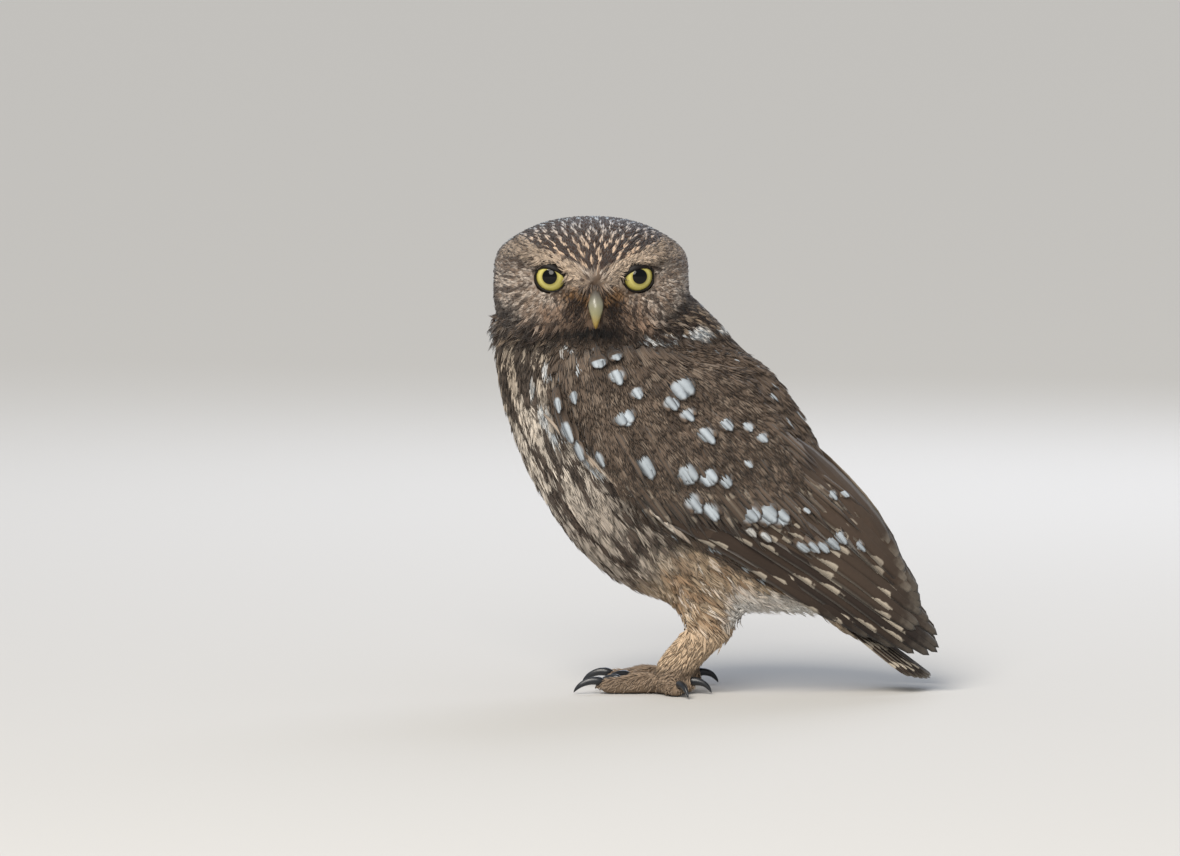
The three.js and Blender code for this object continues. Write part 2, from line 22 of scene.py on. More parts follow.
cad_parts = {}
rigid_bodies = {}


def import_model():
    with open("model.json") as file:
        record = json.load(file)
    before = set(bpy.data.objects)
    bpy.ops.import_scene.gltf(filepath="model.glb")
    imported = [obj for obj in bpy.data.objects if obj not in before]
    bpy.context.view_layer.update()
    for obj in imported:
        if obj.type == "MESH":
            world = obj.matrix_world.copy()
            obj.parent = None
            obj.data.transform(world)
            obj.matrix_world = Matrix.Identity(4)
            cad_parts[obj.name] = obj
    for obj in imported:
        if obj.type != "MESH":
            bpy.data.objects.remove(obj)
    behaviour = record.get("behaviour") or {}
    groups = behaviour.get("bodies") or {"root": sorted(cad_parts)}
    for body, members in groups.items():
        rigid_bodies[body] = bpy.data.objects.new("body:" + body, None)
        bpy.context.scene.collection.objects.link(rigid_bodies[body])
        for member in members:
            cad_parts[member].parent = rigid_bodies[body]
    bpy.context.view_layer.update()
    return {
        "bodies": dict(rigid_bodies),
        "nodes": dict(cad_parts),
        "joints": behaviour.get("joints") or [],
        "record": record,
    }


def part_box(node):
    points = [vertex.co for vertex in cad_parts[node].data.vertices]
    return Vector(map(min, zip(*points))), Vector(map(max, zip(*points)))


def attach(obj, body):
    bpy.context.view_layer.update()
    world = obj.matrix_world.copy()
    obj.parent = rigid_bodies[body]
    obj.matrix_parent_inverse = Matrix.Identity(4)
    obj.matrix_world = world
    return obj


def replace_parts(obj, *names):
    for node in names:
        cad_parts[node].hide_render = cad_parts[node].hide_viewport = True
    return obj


Array = np.ndarray

LOG = logging.getLogger("little_owl")
MM = 0.001
PIXEL = 0.36  # millimetres of owl to one pixel of the photograph
MIDDLE_COLUMN = 640.0  # the photograph's column and row of the drawing's origin
FLOOR_ROW = 690.0
BODY = "root"

FLESH = ["head", "neck", "torso"]
for leg in ("left", "right"):
    FLESH += [f"thigh_{leg}", f"shank_{leg}"]
    FLESH += [f"toe_{leg}_{toe}" for toe in ("hind", "inner", "middle", "outer")]
HULL = FLESH + ["wing_left", "wing_right"]
EVERY_WAY = {"use_axis_x": True, "use_axis_y": True, "use_axis_z": True}
SPOT_AT = 0.72  # where along a vane its spot is, from the root at 0 to the tip at 1


def linear(code: str) -> Array:
    """Turns an sRGB colour to linear light.

    Args:
        code: The colour as hex digits, such as "#3b2f28".

    Returns:
        Red, green and blue from 0 to 1.
    """
    parts = np.array([int(code[i : i + 2], 16) for i in (1, 3, 5)]) / 255
    return np.where(parts <= 0.04045, parts / 12.92, ((parts + 0.055) / 1.055) ** 2.4)


def rgba(code: str) -> tuple[float, float, float, float]:
    """Gives a shader socket's value for an sRGB hex colour."""
    red, green, blue = (float(part) for part in linear(code))
    return red, green, blue, 1.0


def ramp(value: Array, low: float, high: float) -> Array:
    """Rises smoothly from 0 at low to 1 at high, or falls where low is the larger."""
    share = np.clip((np.asarray(value, float) - low) / (high - low), 0, 1)
    return share * share * (3 - 2 * share)


def mixed(first: Array, second: Array, share: Array) -> Array:
    """Mixes two colours or points by a share for each row."""
    weight = np.asarray(share, float)[..., None]
    return first * (1 - weight) + second * weight


def unit(vectors: Array) -> Array:
    """Gives each row of an array the length 1."""
    return vectors / np.maximum(np.linalg.norm(vectors, axis=-1, keepdims=True), 1e-9)


def dotted(first: Array, second: Array) -> Array:
    """Gives the dot product of each pair of rows, kept as a column."""
    return np.sum(first * second, axis=-1, keepdims=True)


def sideways(x: Array, y: float, z: float) -> Array:
    """Gives rows with a value of x each and the same y and z."""
    return np.stack([x, np.full_like(x, y), np.full_like(x, z)], axis=1)


def ripple(points: Array, seed: int, wave: float) -> Array:
    """A cheap smooth noise from -1 to 1, the sum of a few plane waves.

    Args:
        points: Places in millimetres.
        seed: Picks the directions of the waves.
        wave: The wavelength in millimetres.

    Returns:
        One value for each place.
    """
    draw = np.random.default_rng(seed)
    total = np.zeros(len(points))
    count = 5
    for _ in range(count):
        direction = draw.normal(size=3)
        direction *= 2 * math.pi / (wave * draw.uniform(0.6, 1.5) * np.linalg.norm(direction))
        total += np.sin(points @ direction + draw.uniform(0, 2 * math.pi))
    return np.clip(total / count * 1.6, -1, 1)


@dataclass(frozen=True)
class Head:
    """The head's own frame: its face looks along -Y, with its middle at the origin."""

    centre: tuple[float, float, float] = (-17.6, -3.0, 146.0)
    turn_deg: float = 3.0
    eye_spacing: float = 29.2
    eye_depth: float = 18.4
    eye_height: float = 4.3
    eye_outward_deg: float = 13.0

    def axes(self) -> Array:
        """Gives the head's X, Y and Z axes as rows."""
        turn = math.radians(self.turn_deg)
        cosine, sine = math.cos(turn), math.sin(turn)
        return np.array([[cosine, sine, 0], [-sine, cosine, 0], [0, 0, 1]])

    def to_drawing(self, points: Array) -> Array:
        """Moves points from the head's frame to the drawing's."""
        return np.asarray(points, float) @ self.axes() + np.array(self.centre)

    def to_head(self, points: Array) -> Array:
        """Moves points from the drawing's frame to the head's."""
        return (np.asarray(points, float) - np.array(self.centre)) @ self.axes().T

    def eye(self, side: int) -> Array:
        """Gives the middle of an eyeball in the head's frame."""
        return np.array([side * self.eye_spacing / 2, -self.eye_depth, self.eye_height])


HEAD = Head()


class Drawing:
    """Moves shapes between the drawing's millimetres and the frame's metres."""

    def __init__(self) -> None:
        """Finds the drawing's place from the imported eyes."""
        corners = [corner for name in ("eye_left", "eye_right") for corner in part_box(name)]
        packed = np.mean([np.array(corner) for corner in corners], axis=0) / MM
        drawn = HEAD.to_drawing((HEAD.eye(-1) + HEAD.eye(1)) / 2)
        self.shift = packed - drawn

    def to_frame(self, points: Array) -> Array:
        """Moves points from the drawing to the frame's metres."""
        return (points + self.shift) * MM

    def to_drawing(self, points: Array) -> Array:
        """Moves points from the frame's metres to the drawing."""
        return points / MM - self.shift


def pixel(column: float, row: float) -> tuple[float, float]:
    """Gives the drawing's X and Z of a pixel of the photograph."""
    return (column - MIDDLE_COLUMN) * PIXEL, (FLOOR_ROW - row) * PIXEL


def add_node(
    tree: NodeTree,
    kind: str,
    inputs: dict[Any, Any] | None = None,
    stops: Sequence[tuple[float, str]] = (),
    **settings: Any,
) -> Node:
    """Adds a shader node.

    Args:
        tree: The node tree it goes in.
        kind: The node's type name without ShaderNode.
        inputs: A value, or an output to link, for each input socket by name or number.
        stops: The place and hex colour of each band, for a node with bands.
        settings: Properties of the node.

    Returns:
        The node.
    """
    node = tree.nodes.new("ShaderNode" + kind)
    for name, value in settings.items():
        setattr(node, name, value)
    for socket, value in (inputs or {}).items():
        target = node.inputs[socket]
        if isinstance(value, NodeSocket):
            tree.links.new(value, target)
        else:
            target.default_value = value
    if stops:
        bands = node.color_ramp.elements
        while len(bands) < len(stops):
            bands.new(1.0)
        for band, (position, code) in zip(bands, stops):
            band.position = position
            band.color = rgba(code)
    return node


def new_material(name: str, surface: dict[str, Any]) -> tuple[Material, NodeTree, Node]:
    """Makes a material that holds only its shader and output.

    Args:
        name: What the real thing is.
        surface: The shader's inputs that differ from Blender's own.

    Returns:
        The material, its node tree and its shader node.
    """
    material = bpy.data.materials.new(name)
    material.use_nodes = True
    tree = material.node_tree
    tree.nodes.clear()
    shader = add_node(tree, "BsdfPrincipled", surface)
    add_node(tree, "OutputMaterial", {"Surface": shader.outputs[0]})
    return material, tree, shader


@dataclass
class Plumes:
    """What each feather carries: its ground colour, the colour of its marks and how it is marked."""

    ground: Array
    mark: Array
    spot: Array
    streak: Array
    bar: Array
    edge: Array

    @classmethod
    def plain(cls, ground: Array, mark: Array) -> "Plumes":
        """Makes feathers without marks from two colours for each."""
        nothing = np.zeros(len(ground))
        return cls(ground, mark, nothing, nothing.copy(), nothing.copy(), nothing.copy())

    def pattern(self) -> Array:
        """Gives the four kinds of marks as the channels of one colour."""
        return np.stack([self.spot, self.streak, self.bar, self.edge], axis=1)


def set_colours(mesh: Mesh, plumes: Plumes, rows: Array) -> None:
    """Writes the feathers' colours and marks to a mesh's points.

    Args:
        mesh: The mesh.
        plumes: The feathers.
        rows: The feather of each point.
    """
    solid = np.ones((len(rows), 1))
    luck = np.random.default_rng(3).random(len(plumes.ground))
    values = {
        "Ground": np.hstack([plumes.ground[rows], luck[rows, None]]),
        "Mark": np.hstack([plumes.mark[rows], solid]),
        "Pattern": plumes.pattern()[rows],
    }
    for name, value in values.items():
        layer = mesh.attributes.new(name, "FLOAT_COLOR", "POINT")
        layer.data.foreach_set("color", np.clip(value, 0, 1).astype(np.float32).ravel())


def add_piece(name: str, mesh: Mesh, material: Material) -> Object:
    """Puts a finished mesh in the scene as a piece that rides on the owl.

    Args:
        name: The piece's name.
        mesh: Its mesh, in place and in metres.
        material: Its finish.

    Returns:
        The piece.
    """
    piece = bpy.data.objects.new(name, mesh)
    bpy.context.scene.collection.objects.link(piece)
    mesh.materials.clear()
    mesh.materials.append(material)
    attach(piece, BODY)
    LOG.info("%s: %d faces", name, len(mesh.polygons))
    return piece


@dataclass(frozen=True)
class VaneForm:
    """The form of one vane: stations along it, each with a share of the half width, and points across."""

    along: tuple[float, ...]
    width: tuple[float, ...]
    across: tuple[float, ...] = (-1.0, 0.0, 1.0)
    under: tuple[float, ...] = ()
    thickness: float = 0.18

    def ring(self) -> list[tuple[float, float]]:
        """Gives the points round a section: place across, and height in shares of the thickness."""
        top = [(place, 1.0 - abs(place)) for place in self.across]
        return top + [(place, -0.6 * (1.0 - abs(place))) for place in self.under]

    def faces(self) -> Array:
        """Gives the triangles of one vane: its sides, the fan at the tip and the cap at the root."""
        size, last = len(self.ring()), len(self.along) - 1
        made = []
        for i in range(last):
            for j in range(size):
                a, b = i * size + j, i * size + (j + 1) % size
                made += [(a, b, b + size), (a, b + size, a + size)]
        tip = (last + 1) * size
        made += [(last * size + j, last * size + (j + 1) % size, tip) for j in range(size)]
        made += [(0, j + 1, j) for j in range(1, size - 1)]
        return np.array(made, np.int32)


BRISTLE = VaneForm((0, 0.55), (0.8, 1.0), thickness=0.2)
STRAND = VaneForm((0, 0.4, 0.78), (0.6, 1.0, 0.72), thickness=0.22)
FLAT_STRAND = VaneForm((0, 0.3, 0.6, 0.8, 0.92), (0.5, 0.9, 1, 0.9, 0.66), thickness=0.05)
STIFF_VANE = VaneForm(
    (0, 0.15, 0.32, 0.5, 0.68, 0.82, 0.92, 0.98),
    (0.3, 0.66, 0.9, 1, 1, 0.94, 0.76, 0.45),
    (-1, -0.5, -0.08, 0, 0.08, 0.5, 1),
    (0.3, -0.3),
    0.4,
)


@dataclass
class Feathers:
    """A batch of feathers of one form. Each row is one feather, in millimetres."""

    paths: Array  # count, stations and the tip, 3
    normals: Array  # as the paths
    half_width: Array
    plumes: Plumes
    share: tuple[Array, Array] | None = None  # the part of the whole feather's width that a strand covers
    camber: float = 0.12

    def mirrored(self) -> "Feathers":
        """Gives the same feathers on the other side of the bird."""
        flip = np.array([1, -1, 1])
        low, high = self.share or (np.zeros(len(self.paths)), np.ones(len(self.paths)))
        return Feathers(
            self.paths * flip, self.normals * flip, self.half_width, self.plumes, (high, low), self.camber
        )

    def points(self, form: VaneForm) -> tuple[Array, Array, Array]:
        """Works out the vanes' points.

        Args:
            form: The vane's form.

        Returns:
            The points, the place of each along and across its feather, and the same in millimetres.
        """
        steps = np.gradient(self.paths, axis=1)
        sides = unit(np.cross(unit(steps), self.normals))
        count = len(self.paths)
        low, high = self.share or (np.zeros(count), np.ones(count))
        ring = form.ring()
        stations = len(form.along)
        sizes = self.half_width / np.maximum(np.abs(high - low), 0.05)
        places = np.zeros((count, stations * len(ring) + 1, 3))
        shares = np.zeros((count, places.shape[1], 2))
        lengths = np.linalg.norm(np.diff(self.paths, axis=1), axis=2).sum(axis=1)
        for i in range(stations):
            wide = self.half_width[:, None] * form.width[i]
            for j, (across, height) in enumerate(ring):
                index = i * len(ring) + j
                drop = self.camber * across * across * wide
                raised = self.normals[:, i] * (height * form.thickness - drop)
                places[:, index] = self.paths[:, i] + sides[:, i] * across * wide + raised
                shares[:, index, 0] = low + (high - low) * (0.5 + 0.5 * across * form.width[i])
                shares[:, index, 1] = form.along[i]
        places[:, -1] = self.paths[:, -1]
        shares[:, -1] = np.stack([(low + high) / 2, np.ones(count)], axis=1)
        real = np.empty_like(shares)
        real[..., 0] = (shares[..., 0] * 2 - 1) * sizes[:, None]
        real[..., 1] = shares[..., 1] * lengths[:, None]
        return places, shares, real


CELL = 0.0036  # spacing of the feathers' patches on the unwrap
PATCH = 0.003  # size of each patch


def free_cells(places: Array) -> Array:
    """Gives each feather a cell of its own on the unwrap, as near as it can be to its root's place.

    Args:
        places: The roots' places on the unwrap, from 0 to 1.

    Returns:
        The lower left corner of each feather's patch.
    """
    across = int(1 / CELL) - 1
    wanted = np.clip((places / CELL).astype(int), 0, across - 1)
    reach = 60
    steps = [(i, j) for i in range(-reach, reach + 1) for j in range(-reach, reach + 1)]
    steps.sort(key=lambda step: step[0] ** 2 + step[1] ** 2)
    taken = np.zeros((across, across), bool)
    cells = np.zeros_like(wanted)
    start: dict[tuple[int, int], int] = {}
    for row, (column, line) in enumerate(wanted.tolist()):
        first = start.get((column // 4, line // 4), 0)
        for number in range(first // 2, len(steps)):
            i, j = column + steps[number][0], line + steps[number][1]
            if 0 <= i < across and 0 <= j < across and not taken[i, j]:
                taken[i, j] = True
                cells[row] = (i, j)
                start[(column // 4, line // 4)] = number
                break
    return cells * CELL + (CELL - PATCH) / 2


def around(points: Array) -> Array:
    """Unwraps points of a rounded form as a globe is, by the angle round it and the angle down it.

    Args:
        points: The points, in millimetres.

    Returns:
        Places from 0 to 1 on the unwrap.
    """
    middle = (points.min(axis=0) + points.max(axis=0)) / 2
    size = np.maximum(points.max(axis=0) - points.min(axis=0), 1)
    out = unit((points - middle) / size)
    turn = np.arctan2(out[:, 1], out[:, 0]) / (2 * math.pi) + 0.5
    down = np.arccos(np.clip(out[:, 2], -1, 1)) / math.pi
    return np.stack([turn, down], axis=1)


def feather_mesh(name: str, batches: Sequence[tuple[VaneForm, Feathers]], drawing: Drawing) -> Mesh:
    """Joins batches of feathers in one mesh with its colours and maps.

    Args:
        name: The mesh's name.
        batches: Each form with its feathers.
        drawing: The drawing's place.

    Returns:
        The mesh, in the frame's metres.
    """
    points, faces, vane, barb, bake, rows = [], [], [], [], [], []
    roots = np.concatenate([batch.paths[:, 0] for _, batch in batches])
    corners = free_cells(around(roots))
    base = first = 0
    for form, batch in batches:
        places, shares, real = batch.points(form)
        count, size = places.shape[:2]
        points.append(places.reshape(-1, 3))
        faces.append((form.faces()[None] + (base + np.arange(count) * size)[:, None, None]).reshape(-1, 3))
        vane.append(shares.reshape(-1, 2))
        barb.append(real.reshape(-1, 2))
        bake.append((corners[first : first + count, None] + shares * PATCH).reshape(-1, 2))
        rows.append(np.repeat(np.arange(count) + first, size))
        base += count * size
        first += count
    mesh = bpy.data.meshes.new(name)
    triangles = np.concatenate(faces)
    mesh.from_pydata(drawing.to_frame(np.concatenate(points)), [], triangles, shade_flat=False)
    for label, values in (("Vane", vane), ("Barb", barb), ("OFBake", bake)):
        layer = mesh.uv_layers.new(name=label)
        layer.data.foreach_set("uv", np.concatenate(values)[triangles.ravel()].astype(np.float32).ravel())
    fields = [[getattr(batch.plumes, key) for _, batch in batches] for key in Plumes.__dataclass_fields__]
    set_colours(mesh, Plumes(*(np.concatenate(parts) for parts in fields)), np.concatenate(rows))
    mesh.validate()
    return mesh


class Surface:
    """A closed surface that feathers grow from or lie on."""

    def __init__(self, mesh: Mesh, drawing: Drawing) -> None:
        """Reads the surface from a mesh in the frame's metres.

        Args:
            mesh: The mesh.
            drawing: The drawing's place in the frame.
        """
        count = len(mesh.vertices)
        places = np.zeros(count * 3, np.float32)
        mesh.vertices.foreach_get("co", places)
        self.points = drawing.to_drawing(places.reshape(-1, 3).astype(float))
        mesh.calc_loop_triangles()
        corners = np.zeros(len(mesh.loop_triangles) * 3, np.int32)
        mesh.loop_triangles.foreach_get("vertices", corners)
        self.triangles = corners.reshape(-1, 3)
        normals = np.zeros(count * 3, np.float32)
        mesh.vertices.foreach_get("normal", normals)
        self.normals = normals.reshape(-1, 3).astype(float)
        self.tree = BVHTree.FromPolygons(self.points.tolist(), self.triangles.tolist())

    def scattered(
        self, spacing: float, seed: int, keep: Callable[[Array, Array], Array]
    ) -> tuple[Array, Array]:
        """Spreads roots over the surface, at most one in each small cube of space.

        Args:
            spacing: The side of the cubes in millimetres.
            seed: The seed of the draw.
            keep: Gives the chance, from 0 to 1, that a root stays at a place with a normal.

        Returns:
            The roots and their normals.
        """
        draw = np.random.default_rng(seed)
        corner = self.points[self.triangles]
        areas = np.linalg.norm(np.cross(corner[:, 1] - corner[:, 0], corner[:, 2] - corner[:, 0]), axis=1) / 2
        middles = corner.mean(axis=1)
        areas = areas * (keep(middles, unit(self.normals[self.triangles].mean(axis=1))) > 0)
        crowding = 3.2
        count = int(areas.sum() / spacing**2 * crowding)
        rows = draw.choice(len(areas), size=count, p=areas / areas.sum())
        first, second = np.sqrt(draw.random(count)), draw.random(count)
        shares = np.stack([1 - first, first * (1 - second), first * second], axis=1)[..., None]
        roots = (corner[rows] * shares).sum(axis=1)
        normals = unit((self.normals[self.triangles[rows]] * shares).sum(axis=1))
        cubes = np.floor(roots / spacing).astype(np.int64)
        _, single = np.unique(cubes, axis=0, return_index=True)
        single = np.sort(single)
        stays = draw.random(len(single)) < keep(roots[single], normals[single])
        return roots[single][stays], normals[single][stays]

    def nearest(self, points: Array) -> tuple[Array, Array]:
        """Finds the surface's nearest point to each point, and its smooth normal.

        Args:
            points: Places in the drawing.

        Returns:
            The nearest places and the normals, shaped as the points are.
        """
        flat = points.reshape(-1, 3)
        places, normals = np.zeros_like(flat), np.zeros_like(flat)
        find = self.tree.find_nearest
        for row, point in enumerate(flat.tolist()):
            place, _, face, _ = find(point)
            places[row] = place
            normals[row] = self.normals[self.triangles[face]].mean(axis=0)
        return places.reshape(points.shape), unit(normals).reshape(points.shape)


def copied_nodes(frame: dict[str, Any], names: Sequence[str], grow: float) -> BMesh:
    """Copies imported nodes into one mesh, each grown a little so that neighbours run into each other.

    Args:
        frame: The loaded frame.
        names: The nodes.
        grow: How far each is grown, in millimetres.

    Returns:
        The nodes together.
    """
    whole = bmesh.new()
    for name in names:
        single = bmesh.new()
        single.from_mesh(frame["nodes"][name].data)
        bmesh.ops.remove_doubles(single, verts=single.verts, dist=1e-5)
        single.normal_update()
        for vertex in single.verts:
            vertex.co += vertex.normal * grow * MM
        mesh = bpy.data.meshes.new(name + "_copy")
        single.to_mesh(mesh)
        single.free()
        whole.from_mesh(mesh)
        bpy.data.meshes.remove(mesh)
    return whole


def remeshed(shape: BMesh, voxel: float, smoothings: int) -> Mesh:
    """Makes one even skin round overlapping shapes and smooths it.

    Args:
        shape: The shapes, which are freed.
        voxel: The size of the faces in millimetres.
        smoothings: How often each point moves towards its neighbours.

    Returns:
        The mesh of the skin.
    """
    rough = bpy.data.meshes.new("rough")
    shape.to_mesh(rough)
    shape.free()
    carrier = bpy.data.objects.new("carrier", rough)
    bpy.context.scene.collection.objects.link(carrier)
    even = carrier.modifiers.new("even", "REMESH")
    even.mode = "VOXEL"
    even.voxel_size = voxel * MM
    shown = carrier.evaluated_get(bpy.context.evaluated_depsgraph_get())
    mesh = bpy.data.meshes.new_from_object(shown)
    bpy.data.objects.remove(carrier)
    bpy.data.meshes.remove(rough)
    soft = bmesh.new()
    soft.from_mesh(mesh)
    for _ in range(smoothings):
        bmesh.ops.smooth_vert(soft, verts=soft.verts, factor=0.5, **EVERY_WAY)
    soft.normal_update()
    soft.to_mesh(mesh)
    soft.free()
    return mesh


class Tint(Enum):
    """Colours of the plumage."""

    CROWN = "#3a2c25"
    CROWN_DROP = "#cdb39a"
    BROW = "#c4b09b"
    BROW_END = "#a1907f"
    FACE = "#8b796a"
    FACE_LIGHT = "#c9bcaf"
    FACE_DARK = "#45352a"
    RUFOUS = "#80603f"
    BRISTLE = "#31231a"
    LOWER_DISC = "#8d735f"
    JOWL = "#94826f"
    RUFF = "#30241c"
    # the dark line under the chin: the bird's own dark band deepened by painted shadow under the face's rim
    CHIN = "#16100d"
    NECK = "#2f241c"
    NECK_STREAK = "#a89a89"
    BREAST_LIGHT = "#c3b9ac"
    BREAST_DARK = "#3a2d24"
    BELLY = "#a1968a"
    VENT = "#b7a288"
    THIGH = "#a1866a"
    FRINGE = "#e4e0da"
    SHANK = "#ceb598"
    TOE = "#94806c"
    MANTLE = "#66574a"
    MANTLE_DARK = "#493c31"
    MANTLE_EDGE = "#8a7b6c"
    SPOT = "#a6aeb4"
    CREAM = "#c0b4a2"
    FLIGHT = "#2e231c"
    FLIGHT_LIGHT = "#4b3c30"

    @property
    def light(self) -> Array:
        """The colour in linear light."""
        return linear(self.value)


def tinted(count: int, tint: Tint) -> Array:
    """Repeats a colour for a number of feathers."""
    return np.tile(tint.light, (count, 1))


def blend(first: Tint, second: Tint, share: Array) -> Array:
    """Mixes two tints by a share for each feather."""
    return mixed(first.light, second.light, share)


def washed(ground: Array, tint: Tint, share: Array) -> Array:
    """Lays a tint over the feathers' colours by a share for each."""
    return mixed(ground, tint.light, share)


def blot(local: Array, at_side: float, at_height: float, wide: float, high: float) -> Array:
    """Fades from 1 at a place of both halves of the face to 0 away from it.

    Args:
        local: Places in the head's frame.
        at_side: How far from the face's middle plane the blot is.
        at_height: Its height.
        wide: How far it fades sideways.
        high: How far it fades up and down.

    Returns:
        A share for each place.
    """
    sideways, upwards = np.abs(local[:, 0]) - at_side, local[:, 2] - at_height
    return np.exp(-((sideways / wide) ** 2) - (upwards / high) ** 2)


def brow_edge(side: Array) -> Array:
    """Gives the height of the brow's lower edge at a distance from the face's middle."""
    return -3.2 + 0.95 * side - 0.0155 * side * side


def brow_top(side: Array) -> Array:
    """Gives the height of the brow's upper edge, which opens out towards the corner of the crown."""
    return 6.8 + 0.4 * side + 0.4 * np.maximum(side - 21, 0)


def rays(local: Array) -> Array:
    """Draws streaks that run outwards from the eyes, and from the bill's root beside it.

    Args:
        local: Places in the head's frame.

    Returns:
        A value from -1 to 1 for each place.
    """
    x, _, z = local.T
    side = np.abs(x)
    by_eye = side > 9.5
    across = np.where(by_eye, side - 16.5, side)
    above = np.where(by_eye, z - HEAD.eye_height, z + 1)
    turn = np.arctan2(above, across)
    reach = np.hypot(across, above)
    fan = 11.0
    stretch = 0.16
    places = np.stack([fan * np.cos(turn) + 90 * np.sign(x), fan * np.sin(turn), reach * stretch], axis=1)
    return ripple(places, 17, 2.0)


def under_side(points: Array) -> Array:
    """Tells how far down and back along the breast and belly points are, from about 0 to 100."""
    return (points[:, 0] + 55) * 0.55 + (125 - points[:, 2]) * 0.6


def belly_streaks(points: Array) -> Array:
    """Draws long streaks that follow the curve of the breast and belly.

    Args:
        points: Places in the drawing.

    Returns:
        A value from -1 to 1 for each place.
    """
    x, y, z = points.T
    reach = np.hypot(x - 60, z - 120)
    turn = np.arctan2(z - 120, x - 60)
    stretch = 0.12
    return ripple(np.stack([reach, y, 105 * turn * stretch], axis=1), 19, 2.7)


def in_drops(local: Array) -> Array:
    """Tells which places of the crown lie in a pale drop. The drops stand in rings round the forehead.

    Args:
        local: Places in the head's frame.

    Returns:
        1 inside a drop and 0 outside, with a soft edge.
    """
    radius = 29.0
    row_step, drop_step = 3.5, 2.75
    out = unit(local / np.array([35.0, 29.0, 25.0]))
    pole = unit(np.array([0.0, -0.95, 0.12]))
    up = unit(np.array([0.0, 0.12, 0.95]))
    from_pole = np.arccos(np.clip(out @ pole, -1, 1)) * radius
    turn = np.arctan2(out[:, 0], out @ up) / (2 * math.pi)
    ring = np.floor(from_pole / row_step)
    around_ring = 2 * math.pi * np.sin(np.clip((ring + 0.5) * row_step / radius, 0, math.pi)) * radius
    number = np.maximum(np.round(around_ring / drop_step), 1)
    cell = np.floor((turn + 0.37 * ring) * number)
    first, second = np.sin(ring * 12.9 + cell * 78.2), np.sin(ring * 39.3 + cell * 11.1)
    shake = np.stack([first * 43758.5, second * 24634.6])
    shake = shake - np.floor(shake)
    along = from_pole - (ring + 0.25 + 0.5 * shake[0]) * row_step
    across = ((turn + 0.37 * ring) * number - cell - 0.3 - 0.4 * shake[1]) * around_ring / number
    across = across + 0.3 * ripple(local, 13, 3.0)
    narrowing = 1 - 0.3 * along / row_step
    size = np.hypot(along / (1.25 + 0.6 * shake[1]), across / ((0.42 + 0.2 * shake[0]) * narrowing))
    return ramp(size, 1.2, 0.8) * (shake[0] + shake[1] > 0.25)


